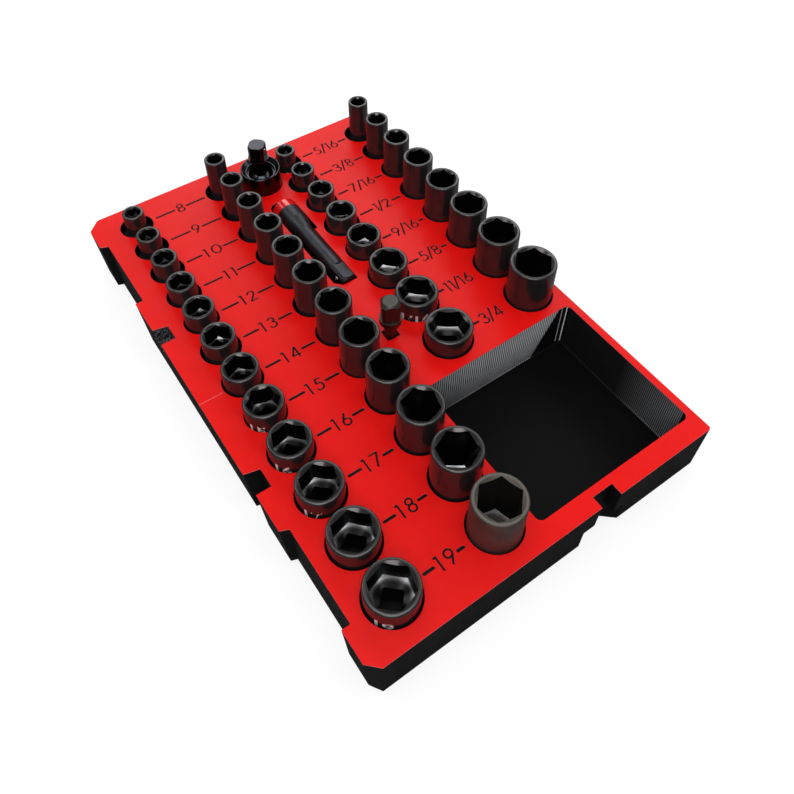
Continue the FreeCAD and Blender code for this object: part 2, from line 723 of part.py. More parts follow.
def all_labels():
    cuts = []
    for name, size, from_front in METRIC_ROWS:
        cuts += row_label(name.lstrip("0"), METRIC_LETTER_GAP, METRIC_LABEL_SHIFT,
                          METRIC_SHALLOW_X, METRIC_DEEP_X, pocket_diameter(size), from_front)
    for name, size, from_front in INCH_ROWS:
        cuts += row_label(name.replace("_", "/"), INCH_LETTER_GAP, INCH_LABEL_SHIFT,
                          INCH_SHALLOW_X, INCH_DEEP_X, pocket_diameter(size), from_front)
    return cuts


# Spring-loaded balls

def detent_bore(half):
    """Blind bore for ball and spring, entering a square's face at this distance from its axis, along +x."""
    depth = DETENT_BALL_RADIUS + DETENT_SPRING_LENGTH + DETENT_TRAVEL + DETENT_END_CLEARANCE
    centre = half + DETENT_STANDOUT - DETENT_BALL_RADIUS
    radius = DETENT_BALL_RADIUS + DETENT_BORE_CLEARANCE
    return Part.makeCylinder(radius, depth + CUT_OVERRUN, Vector(centre - depth, 0, 0), Vector(1, 0, 0))


def detent_ball(half):
    return Part.makeSphere(DETENT_BALL_RADIUS, Vector(half + DETENT_STANDOUT - DETENT_BALL_RADIUS, 0, 0))


def detent_spring(half):
    """Sleeve that stands for the closed coil behind the ball."""
    outer = DETENT_BALL_RADIUS - DETENT_BORE_CLEARANCE
    inner = outer - DETENT_SPRING_WIRE
    centre = half + DETENT_STANDOUT - DETENT_BALL_RADIUS
    front = centre - math.sqrt(DETENT_BALL_RADIUS ** 2 - inner ** 2) - DETENT_SPRING_CLEARANCE
    back = centre - DETENT_BALL_RADIUS - DETENT_SPRING_LENGTH
    tube = Part.makeCylinder(outer, front - back, Vector(back, 0, 0), Vector(1, 0, 0))
    return tube.cut(Part.makeCylinder(inner, front - back, Vector(back, 0, 0), Vector(1, 0, 0)))


# Universal joint, built upright about its own axis with its foot at the right level

def at_joint(shape):
    return plain(moved(spun(shape, JOINT_TURN), across(TOOL_X), along(JOINT_Y)))


def joint_housing():
    outer = JOINT_DIAMETER / 2
    mouth = CUP_RADIUS + JOINT_MOUTH_MARGIN
    bevel_edge = outer - JOINT_RIM_WIDTH
    blank = turned([
        (0, JOINT_FOOT), (outer - FOOT_CHAMFER, JOINT_FOOT), (outer, JOINT_FOOT + FOOT_CHAMFER),
        (outer, JOINT_RIM_LEVEL - FOOT_CHAMFER / 2), (outer - FOOT_CHAMFER / 2, JOINT_RIM_LEVEL),
        (0, JOINT_RIM_LEVEL),
    ])
    bevel_foot = JOINT_RIM_LEVEL - JOINT_BEVEL_DEPTH
    bevel = turned([(0, bevel_foot), (mouth, bevel_foot), (bevel_edge, JOINT_RIM_LEVEL),
                    (0, JOINT_RIM_LEVEL)])
    cup = Part.makeCylinder(CUP_RADIUS, JOINT_RIM_LEVEL - BALL_LEVEL, Vector(0, 0, BALL_LEVEL))
    seat = Part.makeSphere(CUP_RADIUS, Vector(0, 0, BALL_LEVEL))
    ring_foot = BALL_LEVEL + SNAP_RING_LEVEL - SNAP_RING_PLAY
    groove = Part.makeCylinder(CUP_RADIUS + SNAP_RING_BITE + SNAP_RING_PLAY,
                               SNAP_RING_THICKNESS + 2 * SNAP_RING_PLAY, Vector(0, 0, ring_foot))
    reach = BALL_RADIUS + CROSS_PIN_REACH + PIN_SLOT_MARGIN
    half_width = CROSS_PIN_RADIUS + PIN_SLOT_CLEARANCE
    rise = CROSS_PIN_RADIUS + PIN_SLOT_RISE
    slot = Part.makeBox(2 * reach, 2 * half_width, 2 * rise, Vector(-reach, -half_width, BALL_LEVEL - rise))
    drive = drive_hole(JOINT_FOOT - CUT_OVERRUN, JOINT_FOOT + DRIVE_DEPTH)
    return at_joint(blank.cut([bevel, cup, seat, groove, slot, drive]))


def joint_snap_ring():
    ring_foot = BALL_LEVEL + SNAP_RING_LEVEL
    outer = CUP_RADIUS + SNAP_RING_BITE
    inner = CUP_RADIUS - SNAP_RING_INSET
    ring = Part.makeCylinder(outer, SNAP_RING_THICKNESS, Vector(0, 0, ring_foot))
    hole = Part.makeCylinder(inner, SNAP_RING_THICKNESS, Vector(0, 0, ring_foot))
    opening = Part.makeBox(SNAP_RING_GAP, outer, SNAP_RING_THICKNESS,
                           Vector(-SNAP_RING_GAP / 2, 0, ring_foot))
    return at_joint(ring.cut([hole, opening]))


def joint_cross_pin():
    reach = BALL_RADIUS + CROSS_PIN_REACH
    end = Vector(-reach, 0, BALL_LEVEL)
    return at_joint(Part.makeCylinder(CROSS_PIN_RADIUS, 2 * reach, end, Vector(1, 0, 0)))


def tang_square_foot():
    return BALL_LEVEL + NECK_LENGTH + TANG_COLLAR_LENGTH


def joint_tang():
    """Ball, neck, round collar and male square in one forging."""
    collar_foot = BALL_LEVEL + NECK_LENGTH
    square_foot = tang_square_foot()
    ball = Part.makeSphere(BALL_RADIUS, Vector(0, 0, BALL_LEVEL))
    neck = Part.makeCylinder(NECK_RADIUS, square_foot - BALL_LEVEL, Vector(0, 0, BALL_LEVEL))
    collar = turned([(0, collar_foot), (NECK_RADIUS, collar_foot),
                     (TANG_COLLAR_RADIUS, square_foot - TANG_COLLAR_EDGE),
                     (TANG_COLLAR_RADIUS, square_foot), (0, square_foot)])
    square = tool_square(square_foot, square_foot + TANG_LENGTH, TANG_TIP_CHAMFER)
    bore_reach = BALL_RADIUS + CUT_OVERRUN
    pin_bore = Part.makeCylinder(CROSS_PIN_RADIUS + CROSS_PIN_CLEARANCE, 2 * bore_reach,
                                 Vector(-bore_reach, 0, BALL_LEVEL), Vector(1, 0, 0))
    detent = moved(detent_bore(DRIVE_SQUARE / 2), 0, 0, joint_detent_level())
    return at_joint(ball.fuse([neck, collar, square]).removeSplitter().cut([pin_bore, detent]))


def joint_detent_level():
    return tang_square_foot() + TANG_LENGTH - TANG_DETENT_FROM_TIP


def joint_tang_ball():
    return at_joint(moved(detent_ball(DRIVE_SQUARE / 2), 0, 0, joint_detent_level()))


def joint_tang_spring():
    return at_joint(moved(detent_spring(DRIVE_SQUARE / 2), 0, 0, joint_detent_level()))


# Extension bar, built upright with its square down and then laid along the tray

def lay_extension(shape):
    """Turn the upright bar about its axis, lay its top to the rear and set it in its trough."""
    copy = spun(shape, EXTENSION_ROLL)
    copy.rotate(Vector(0, 0, 0), Vector(1, 0, 0), -90)
    return plain(moved(copy, across(EXTENSION_X), along(EXTENSION_FRONT), EXTENSION_LEVEL))


def extension_ring_bounds():
    return EXTENSION_LENGTH - EXTENSION_RING_LENGTH, EXTENSION_LENGTH


def extension_bar():
    head = HEAD_DIAMETER / 2
    shaft = SHAFT_DIAMETER / 2
    ring_foot, top = extension_ring_bounds()
    cone_top = EXTENSION_LENGTH - HEAD_LENGTH
    cone_foot = cone_top - HEAD_CONE_LENGTH
    ring_seat = head - EXTENSION_RING_WALL
    square_top = EXTENSION_SQUARE_LENGTH
    blank = turned([
        (0, square_top), (shaft - EXTENSION_RIM_CHAMFER, square_top),
        (shaft, square_top + EXTENSION_RIM_CHAMFER), (shaft, cone_foot), (head, cone_top),
        (head, ring_foot), (ring_seat, ring_foot), (ring_seat, top), (0, top),
    ])
    square = tool_square(0, square_top + EXTENSION_RIM_CHAMFER, TIP_CHAMFER)
    square.rotate(Vector(0, 0, (square_top + EXTENSION_RIM_CHAMFER) / 2), Vector(1, 0, 0), 180)
    drive = drive_hole(top - DRIVE_DEPTH, top + CUT_OVERRUN)
    detent = moved(detent_bore(DRIVE_SQUARE / 2), 0, 0, DETENT_FROM_TIP)
    return lay_extension(blank.fuse(square).removeSplitter().cut([drive, spun(detent, 180)]))


def extension_ring():
    head = HEAD_DIAMETER / 2
    ring_foot, top = extension_ring_bounds()
    inner = head - EXTENSION_RING_WALL
    chamfer = EXTENSION_RING_WALL / 2
    return lay_extension(turned([(inner, ring_foot), (head, ring_foot), (head, top - chamfer),
                                 (head - chamfer, top), (inner, top)]))


def extension_ball():
    return lay_extension(spun(moved(detent_ball(DRIVE_SQUARE / 2), 0, 0, DETENT_FROM_TIP), 180))


def extension_spring():
    return lay_extension(spun(moved(detent_spring(DRIVE_SQUARE / 2), 0, 0, DETENT_FROM_TIP), 180))


# Adapter, standing on its shank

def at_adapter(shape):
    return plain(moved(spun(shape, ADAPTER_TURN), across(ADAPTER_X), along(ADAPTER_Y)))


def adapter_detent_level():
    return ADAPTER_TOP - DETENT_FROM_TIP


def adapter_body():
    square_foot = ADAPTER_TOP - ADAPTER_SQUARE_LENGTH
    collar_foot = square_foot - ADAPTER_COLLAR_LENGTH
    shank_radius = ADAPTER_SHANK_FLATS / 2 / math.cos(math.pi / 6)
    chamfered = turned([(0, ADAPTER_FOOT), (shank_radius - ADAPTER_SHANK_CHAMFER, ADAPTER_FOOT),
                        (shank_radius, ADAPTER_FOOT + ADAPTER_SHANK_CHAMFER), (shank_radius, square_foot),
                        (0, square_foot)])
    shank = many_sided(6, ADAPTER_SHANK_FLATS, ADAPTER_FOOT, square_foot).common(chamfered)
    collar = turned([
        (0, collar_foot), (ADAPTER_COLLAR_RADIUS - ADAPTER_COLLAR_CHAMFER, collar_foot),
        (ADAPTER_COLLAR_RADIUS, collar_foot + ADAPTER_COLLAR_CHAMFER), (ADAPTER_COLLAR_RADIUS, square_foot),
        (0, square_foot),
    ])
    groove_foot = ADAPTER_FOOT + ADAPTER_GROOVE_FROM_END
    groove = turned([
        (ADAPTER_GROOVE_RADIUS, groove_foot), (ADAPTER_GROOVE_RADIUS, groove_foot + ADAPTER_GROOVE_LENGTH),
        (2 * shank_radius, groove_foot + ADAPTER_GROOVE_LENGTH), (2 * shank_radius, groove_foot),
    ])
    square = tool_square(square_foot, ADAPTER_TOP, TIP_CHAMFER)
    detent = spun(moved(detent_bore(DRIVE_SQUARE / 2), 0, 0, adapter_detent_level()), 180)
    return at_adapter(shank.cut(groove).fuse([collar, square]).removeSplitter().cut(detent))


def adapter_ball():
    return at_adapter(spun(moved(detent_ball(DRIVE_SQUARE / 2), 0, 0, adapter_detent_level()), 180))


def adapter_spring():
    return at_adapter(spun(moved(detent_spring(DRIVE_SQUARE / 2), 0, 0, adapter_detent_level()), 180))


def main():
    os.makedirs("parts", exist_ok=True)
    cuts = tray_cuts()
    nodes = {"tray_body": tray_body(cuts), "top_skin": top_skin(cuts)}
    nodes.update(all_sockets())
    for build in (joint_housing, joint_snap_ring, joint_cross_pin,
                  joint_tang, joint_tang_ball, joint_tang_spring,
                  extension_bar, extension_ring, extension_ball, extension_spring,
                  adapter_body, adapter_ball, adapter_spring):
        nodes[build.__name__] = build()
    for name, shape in nodes.items():
        shape.exportStep(os.path.join("parts", name + ".step"))
        print(name, "solids", len(shape.Solids), "volume", round(shape.Volume), "valid", shape.isValid())


main()
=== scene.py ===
# %% [markdown]
# A tray that keeps a whole set of sockets in order: a dark printed block under a thin red deck,
# forty black sockets standing in round pockets, three drive tools and an open bin.
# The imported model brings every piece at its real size. This lesson gives each one its finish, and
# makes again, more finely, the pieces that the eye goes to first.

# %% Load the frame
import json
import math

import bpy
from mathutils import Matrix, Vector


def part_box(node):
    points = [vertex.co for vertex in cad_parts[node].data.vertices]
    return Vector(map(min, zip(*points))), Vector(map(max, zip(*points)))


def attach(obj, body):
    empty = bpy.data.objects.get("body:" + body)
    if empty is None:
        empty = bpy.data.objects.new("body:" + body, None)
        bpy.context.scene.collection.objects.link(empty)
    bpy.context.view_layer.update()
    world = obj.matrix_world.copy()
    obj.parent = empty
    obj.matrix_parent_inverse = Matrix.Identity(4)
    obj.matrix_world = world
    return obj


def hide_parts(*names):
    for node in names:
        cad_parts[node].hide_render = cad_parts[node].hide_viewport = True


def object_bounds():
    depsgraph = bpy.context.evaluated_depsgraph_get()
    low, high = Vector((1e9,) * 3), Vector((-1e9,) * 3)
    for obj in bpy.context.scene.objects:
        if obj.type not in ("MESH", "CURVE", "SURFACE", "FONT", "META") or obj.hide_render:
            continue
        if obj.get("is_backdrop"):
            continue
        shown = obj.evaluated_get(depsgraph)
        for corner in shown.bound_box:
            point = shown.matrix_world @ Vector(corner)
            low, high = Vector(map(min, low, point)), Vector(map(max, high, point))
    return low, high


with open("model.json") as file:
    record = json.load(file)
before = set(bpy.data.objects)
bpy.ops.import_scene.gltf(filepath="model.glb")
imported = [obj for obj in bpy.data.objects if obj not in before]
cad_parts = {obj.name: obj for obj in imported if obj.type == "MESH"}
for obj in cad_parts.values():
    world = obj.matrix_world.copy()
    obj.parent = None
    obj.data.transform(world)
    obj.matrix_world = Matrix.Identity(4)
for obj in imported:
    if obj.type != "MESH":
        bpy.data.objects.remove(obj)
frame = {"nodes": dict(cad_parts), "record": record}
cad_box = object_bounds()
nodes = frame["nodes"]
print("pieces in the frame:", len(nodes))

# %% [markdown]
# Every place below comes from the frame. Typing the places in again would work too, but they would
# stay behind when the part changes. The deck is the top of the red skin, and one millimetre is the
# unit that all the small sizes are written in.

# %% Read the main sizes from the frame
MM = 0.001
skin_low, skin_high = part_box("top_skin")
body_low, body_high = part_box("tray_body")
deck = skin_high.z
print("tray, mm:", [round(value / MM, 1) for value in (body_high - body_low)], "deck at", round(deck / MM, 2))

# %% [markdown]
# The camera stands where the real one did: high at the front left corner, looking down across the
# tray. The photograph is the lower part of a taller picture, so the lens is shifted down a little.
# Three numbers could be typed into the camera's rotation. Its axes are worked out instead from a
# heading, a downward angle and a small roll, which are easier to picture and to change.

# %% Camera
SENSOR_WIDTH = 36.0
PHOTO_SIZE = 794
FOCAL_PIXELS = 815.0
PRINCIPAL_PIXEL = (399.9, 288.3)
CAMERA_PLACE = Vector((-146.6, -239.8, 379.3)) * MM
CAMERA_AZIMUTH = math.radians(35.12)
CAMERA_DOWN = math.radians(48.92)
CAMERA_ROLL = math.radians(0.315)
CAMERA_NEAR_LIMIT = 10 * MM


def make_camera():
    """Camera whose axes come from its azimuth, its downward angle and its small roll."""
    forward = Vector((math.sin(CAMERA_AZIMUTH) * math.cos(CAMERA_DOWN),
                      math.cos(CAMERA_AZIMUTH) * math.cos(CAMERA_DOWN),
                      -math.sin(CAMERA_DOWN)))
    level = forward.cross(Vector((0, 0, 1))).normalized()
    upward = level.cross(forward)
    right = level * math.cos(CAMERA_ROLL) + upward * math.sin(CAMERA_ROLL)
    above = upward * math.cos(CAMERA_ROLL) - level * math.sin(CAMERA_ROLL)
    lens = bpy.data.cameras.new("photo_camera")
    lens.sensor_width = SENSOR_WIDTH
    lens.lens = SENSOR_WIDTH * FOCAL_PIXELS / PHOTO_SIZE
    lens.shift_x = (PHOTO_SIZE / 2 - PRINCIPAL_PIXEL[0]) / PHOTO_SIZE
    lens.shift_y = (PRINCIPAL_PIXEL[1] - PHOTO_SIZE / 2) / PHOTO_SIZE
    lens.clip_start = CAMERA_NEAR_LIMIT
    camera = bpy.data.objects.new("photo_camera", lens)
    turn = Matrix((right, above, -forward)).transposed().to_4x4()
    camera.matrix_world = Matrix.Translation(CAMERA_PLACE) @ turn
    bpy.context.scene.collection.objects.link(camera)
    bpy.context.scene.camera = camera
    return lens


lens = make_camera()
print("lens, mm:", round(lens.lens, 2), "shift:", round(lens.shift_x, 4), round(lens.shift_y, 4))

# %% [markdown]
# A finish is a small calculation over the surface. It could be wired up by hand in the node editor,
# but arithmetic is easier to read and to change. So one small class stands for the output of a node,
# and adding or multiplying two of them adds a Math node. The same class works in a material and in a
# tree that makes geometry.

# %% Arithmetic on node outputs
class Wire:
    """The output of a node. Arithmetic on it adds Math nodes to its own tree."""

    def __init__(self, socket):
        self.socket = socket

    def math(self, operation, *others):
        inputs = dict(enumerate((self, *others)))
        return add_node(self.socket.id_data, "ShaderNodeMath", {"operation": operation}, inputs)

    def __add__(self, other):
        return self.math("ADD", other)

    def __radd__(self, other):
        return self.math("ADD", other)

    def __sub__(self, other):
        return self.math("SUBTRACT", other)

    def __rsub__(self, other):
        return (self * -1.0).math("ADD", other)

    def __mul__(self, other):
        return self.math("MULTIPLY", other)

    def __rmul__(self, other):
        return self.math("MULTIPLY", other)

    def __truediv__(self, other):
        return self.math("DIVIDE", other)

    def __rtruediv__(self, other):
        return self.math("POWER", -1.0) * other

    def clamped(self, low=0.0, high=1.0):
        return self.math("MAXIMUM", low).math("MINIMUM", high)


def add_node(tree, kind, settings=None, inputs=None, output=0):
    """Add a node of this kind, set it up, feed its sockets with values or wires, return one output."""
    node = tree.nodes.new(kind)
    for name, value in (settings or {}).items():
        setattr(node, name, value)
    for key, value in (inputs or {}).items():
        if isinstance(value, Wire):
            tree.links.new(value.socket, node.inputs[key])
        else:
            node.inputs[key].default_value = value
    return Wire(node.outputs[output])


def outputs_of(wire):
    """All outputs of the node that a wire comes from, by name."""
    return {output.name: Wire(output) for output in wire.socket.node.outputs if output.name}


def axes_of(place):
    """The three coordinates of a place, as three wires."""
    return outputs_of(add_node(place.socket.id_data, "ShaderNodeSeparateXYZ", None, {0: place})).values()


print("node arithmetic ready")

# %% [markdown]
# Surface patterns read Object coordinates. Every piece stands at the origin with its place in its
# mesh, so these are plain tray coordinates in metres. A wrapped picture would need each piece to be
# unfolded first. A rule on the place needs nothing, stays sharp close up, and its sizes are written
# in millimetres.

# %% Patterns on a place
NOISE_ROUGHNESS = 0.55


def noise(place, grain, detail=3.0):
    """Cloudy noise from 0 to 1 whose blobs are about this many metres across."""
    inputs = {"Vector": place, "Scale": 1 / grain, "Detail": detail, "Roughness": NOISE_ROUGHNESS}
    return add_node(place.socket.id_data, "ShaderNodeTexNoise", None, inputs)


def wave(place, pitch):
    """Ridges from 0 to 1 along a wire that holds a length, one every pitch."""
    return (place * (2 * math.pi / pitch)).math("SINE") * 0.5 + 0.5


def ramp_between(value, low, high):
    """From 0 at one value to 1 at another, clamped."""
    return ((value - low) / (high - low)).clamped()


def near(value, place, reach):
    """1 where a length lies within this reach of a place, otherwise 0."""
    return value.math("COMPARE", place, reach)


print("patterns ready")

# %% Shared parts of the finishes
def start_material(name):
    """New material, with its surface shader and the place on the object as a wire."""
    material = bpy.data.materials.new(name)
    material.use_nodes = True
    shader = next(node for node in material.node_tree.nodes if node.type == "BSDF_PRINCIPLED")
    place = outputs_of(add_node(material.node_tree, "ShaderNodeTexCoord"))["Object"]
    return material, shader, place


def mix_colours(factor, first, second):
    """Blend two colours, each a wire or three numbers."""
    inputs = {0: factor}
    for index, colour in ((6, first), (7, second)):
        inputs[index] = colour if isinstance(colour, Wire) else (*colour, 1.0)
    return add_node(factor.socket.id_data, "ShaderNodeMix", {"data_type": "RGBA"}, inputs, output=2)


def set_surface(shader, **values):
    """Feed the shader's sockets, given as words with underscores."""
    labels = {label.lower(): label for label in shader.inputs.keys()}
    for key, value in values.items():
        socket = shader.inputs[labels[key.replace("_", " ")]]
        if isinstance(value, Wire):
            shader.id_data.links.new(value.socket, socket)
        elif isinstance(value, tuple):
            socket.default_value = (*value, 1.0)
        else:
            socket.default_value = value


def add_bump(shader, height, distance):
    """Raise the surface by a wire from 0 to 1 times this distance."""
    set_surface(shader, normal=add_node(height.socket.id_data, "ShaderNodeBump", None,
                                        {"Height": height, "Distance": distance}))


print("shared finish parts ready")

# %% [markdown]
# The deck is half a millimetre of red filament. From above it is satin and almost even. Close up it
# has the slanting lines of the printer's last pass, and its cut edges get a painted highlight in pale
# pink, where they catch the light. A short pale seam runs in from the left edge. Modelled
# grooves would cost a great many faces, so the lines are relief in the finish.

# %% Red deck finish
DECK_RED = (0.77, 0.005, 0.004)
DECK_RED_DEEP = (0.70, 0.003, 0.002)
DECK_EDGE_HIGHLIGHT = (0.92, 0.20, 0.21)
DECK_SEAM = (0.92, 0.24, 0.24)
DECK_CLOUD = 16 * MM
DECK_SMEAR = 4 * MM
DECK_GRAIN = 1.2 * MM
DECK_GRAIN_SHARE = 0.6
DECK_RELIEF = 0.008 * MM
DECK_ROUGHNESS = 0.30
DECK_ROUGHNESS_SPREAD = 0.12
DECK_MIRROR_LEVEL = 0.16
TOP_PASS_PITCH = 0.45 * MM
EDGE_DEPTH = 0.06 * MM
SEAM_Y = 0.0
SEAM_WIDTH = 0.22 * MM
SEAM_LENGTH = 13.0 * MM
SEAM_STRENGTH = 0.8


def red_deck_finish():
    material, shader, place = start_material("red_deck")
    x, y, z = axes_of(place)
    red = mix_colours(noise(place, DECK_CLOUD), DECK_RED_DEEP, DECK_RED)
    seam = near(y, SEAM_Y, SEAM_WIDTH / 2) * x.math("LESS_THAN", skin_low.x + SEAM_LENGTH)
    red = mix_colours(seam * SEAM_STRENGTH, red, DECK_SEAM)
    # Painted highlight: the cut side faces of the skin are painted pale pink.
    red = mix_colours(z.math("LESS_THAN", deck - EDGE_DEPTH), red, DECK_EDGE_HIGHLIGHT)
    roughness = DECK_ROUGHNESS + noise(place, DECK_SMEAR) * DECK_ROUGHNESS_SPREAD
    set_surface(shader, base_color=red, roughness=roughness, specular_ior_level=DECK_MIRROR_LEVEL)
    passes = wave(x + y, TOP_PASS_PITCH * math.sqrt(2))
    add_bump(shader, passes + noise(place, DECK_GRAIN) * DECK_GRAIN_SHARE, DECK_RELIEF)
    return material


red_deck = red_deck_finish()
print("finish:", red_deck.name)

# %% [markdown]
# The block is printed lying flat, layer on layer, so its walls carry fine level ridges. They are part
# colour, part relief. Inside the bin the walls carry a coarser hatch and weave with a painted sheen on
# them. The bin and the slot in the left wall come from the frame's list of openings. The bin's opening
# keeps three millimetres clear of the walls.

# %% Where the bin and the key slot are
BIN_CLEAR = 3.0 * MM
BIN_FLOOR = 1.6 * MM
BIN_CORNER = 3.5 * MM
openings = {opening["name"]: opening["box_m"] for opening in frame["record"]["physics"]["openings"]}
bin_left, bin_front = (value - BIN_CLEAR for value in openings["bin"][0][:2])
bin_right, bin_rear = (value + BIN_CLEAR for value in openings["bin"][1][:2])
slot_low, slot_high = openings["key_slot"]
print("bin, mm:", [round(value / MM, 1) for value in (bin_left, bin_front, bin_right, bin_rear)])
print("key slot, mm:", [[round(value / MM, 1) for value in corner] for corner in (slot_low, slot_high)])

# %% [markdown]
# The bin's rear wall has an upright hatch that leans over near the floor, with a painted sheen on it.
# The painted sheen grows paler to the right and upwards, but a triangle at its right end is left dark
# as a painted shadow. Modelled stripes would be many thin faces for a very small step, so the stripes
# are a wave along the wall, kept to a thin slice of space at the wall.

# %% Painted sheen on the hatch of the bin's rear wall
HATCH_PITCH = 1.45 * MM
HATCH_KNEE = 15 * MM
HATCH_LEAN = 0.9
HATCH_GROOVE = 0.03
HATCH_RISE = 26 * MM
HATCH_FULL_FROM_RIGHT = 20 * MM
HATCH_LEFT_SHARE = 0.30
HATCH_LOW_SHARE = 0.35
HATCH_STRENGTH = 1.3
HATCH_PATCHES = 1.5
SHADE_SLOPE = 0.5
SHADE_FROM_RIGHT = 5.5 * MM
SHADE_SOFTNESS = 1.5 * MM
WALL_REACH = 0.3 * MM


def share_and_rest(share, value):
    """From this share to the whole, as a value goes from 0 to 1."""
    return share + value * (1 - share)


def rear_wall_painted_sheen(x, y, z, patches):
    """Painted sheen in upright stripes, with a painted shadow triangle at the right taken out."""
    on_wall = near(y, bin_rear, WALL_REACH) * x.math("GREATER_THAN", bin_left)
    shade_edge = bin_right - SHADE_FROM_RIGHT
    # Painted shadow: a triangle at the right end, in the shade of the right wall, gets no sheen.
    outside_painted_shadow = ramp_between(x + (deck - z) * SHADE_SLOPE, shade_edge, shade_edge - SHADE_SOFTNESS)
    full_from = bin_right - HATCH_FULL_FROM_RIGHT
    rightward = share_and_rest(HATCH_LEFT_SHARE, ramp_between(x, bin_left, full_from))
    upward = share_and_rest(HATCH_LOW_SHARE, ramp_between(z, BIN_FLOOR, HATCH_RISE))
    stripes = wave(x + (HATCH_KNEE - z).math("MAXIMUM", 0.0) * HATCH_LEAN, HATCH_PITCH)
    strength = (HATCH_STRENGTH + patches * HATCH_PATCHES) * share_and_rest(HATCH_GROOVE, stripes * stripes)
    return on_wall * outside_painted_shadow * rightward * upward * strength


print("hatch every", round(HATCH_PITCH / MM, 2), "mm on a wall of", round((bin_right - bin_left) / MM), "mm")

# %% [markdown]
# The bin's right wall has a finer weave with a painted sheen, paler towards the front, and two thin
# painted glints run up the corner between the two walls. They are made in the same way, from the
# place on the wall alone.

# %% Painted sheen on the weave of the bin's right wall, and painted glints in its corner
WEAVE_PITCH = 1.1 * MM
WEAVE_LOW_SHARE = 0.35
WEAVE_AT_MIDDLE = 0.02
WEAVE_GAIN_TO_FRONT = 0.60
CORNER_GLINT_FOOT = 2 * MM
# Each line: its place as a share of the corner's size from the right wall, half its width, its strength
CORNER_GLINT_LINES = ((1.0, 0.25 * MM, 1.0), (0.3, 0.22 * MM, 1.6))


def right_wall_painted_sheen(x, y, z):
    """Painted sheen on a fine weave, which grows paler from the middle of the wall to its front."""
    on_wall = near(x, bin_right, WALL_REACH) * y.math("GREATER_THAN", bin_front + BIN_CORNER)
    # Painted sheen: paler from the middle of the wall to its front.
    forward = ramp_between(y, (bin_rear + bin_front) / 2, bin_front)
    weave = wave(y, WEAVE_PITCH) * share_and_rest(WEAVE_LOW_SHARE, wave(z, WEAVE_PITCH))
    return on_wall * (WEAVE_AT_MIDDLE + forward * WEAVE_GAIN_TO_FRONT) * weave


def corner_painted_glints(x, y, z):
    """Two thin painted glints up the rear right corner."""
    in_corner = near(y, bin_rear - BIN_CORNER / 2, BIN_CORNER)
    above_floor = z.math("GREATER_THAN", BIN_FLOOR + CORNER_GLINT_FOOT)
    # Painted glints: two thin bright lines where the rounded corner catches a lamp.
    lines = 0.0
    for share, reach, strength in CORNER_GLINT_LINES:
        lines = lines + near(x, bin_right - BIN_CORNER * share, reach) * strength
    return in_corner * above_floor * lines


print("lines in the corner:", len(CORNER_GLINT_LINES))

# %% [markdown]
# The slot in the left wall shows small painted glints. A second material would need the slot's
# faces to be marked. A noise that is kept to a box round the slot does the same from its place alone.
# The box reaches a little past the slot, so a few painted glints lie round its mouth.

# %% Painted glints in the key slot
KEY_SLOT_DEPTH = 10 * MM
KEY_SLOT_SPARE = 0.1 * MM
SLOT_CLEAR = 3 * MM
SLOT_MARGIN = 0.3 * MM
SLOT_GLINT_SIZE = 0.9 * MM
SLOT_GLINT_RANGE = (0.50, 0.58)


def slot_painted_glints(place, x, y, z):
    """Painted glints on the walls and the floor of the slot, and a few round its mouth."""
    in_slot = x.math("GREATER_THAN", body_low.x + SLOT_MARGIN)
    for value, low, high in ((x, slot_low[0], slot_high[0]), (y, slot_low[1], slot_high[1])):
        in_slot = in_slot * near(value, (low + high) / 2, (high - low) / 2 + SLOT_CLEAR)
    in_slot = in_slot * near(z, deck - KEY_SLOT_DEPTH / 2, KEY_SLOT_DEPTH / 2 + KEY_SLOT_SPARE)
    # Painted glints: pale specks kept to the slot and round its mouth.
    return in_slot * ramp_between(noise(place, SLOT_GLINT_SIZE, detail=5.0), *SLOT_GLINT_RANGE)


print("specks", round(SLOT_GLINT_SIZE / MM, 1), "mm across")

# %% [markdown]
# The whole block is one print in one black plastic, so it gets one finish. Layer lines, grain and
# patches lighten the black a little, the bin's floor gets painted shade that keeps it the darkest, and
# the painted sheen, glints and shadow above are laid over it in turn.

# %% Dark print finish
PRINT_DARK = (0.0016, 0.0016, 0.0018)
PRINT_LIGHT = (0.024, 0.024, 0.026)
# Near white of the painted sheen and glints on the bin walls.
PAINTED_HIGHLIGHT_WHITE = (0.86, 0.88, 0.92)
SLOT_GLINT_GREY = (0.16, 0.165, 0.175)
LAYER_PITCH = 0.6 * MM
LAYER_SWAY = 0.2 * MM
LAYER_SWAY_LENGTH = 30 * MM
PRINT_GRAIN = 0.8 * MM
PRINT_PATCH = 9 * MM
PRINT_RELIEF = 0.05 * MM
LAYER_SHARE = 0.30
PATCH_SHARE = 0.35
GRAIN_SHARE = 0.7
GRAIN_RELIEF_SHARE = 0.5
LIGHT_FROM = 0.50
PRINT_ROUGHNESS = 0.45
PRINT_ROUGHNESS_SPREAD = 0.25
PRINT_MIRROR_LEVEL = 0.08
FLOOR_REACH = 0.05 * MM
BIN_FLOOR_PAINTED_SHADE = 0.9


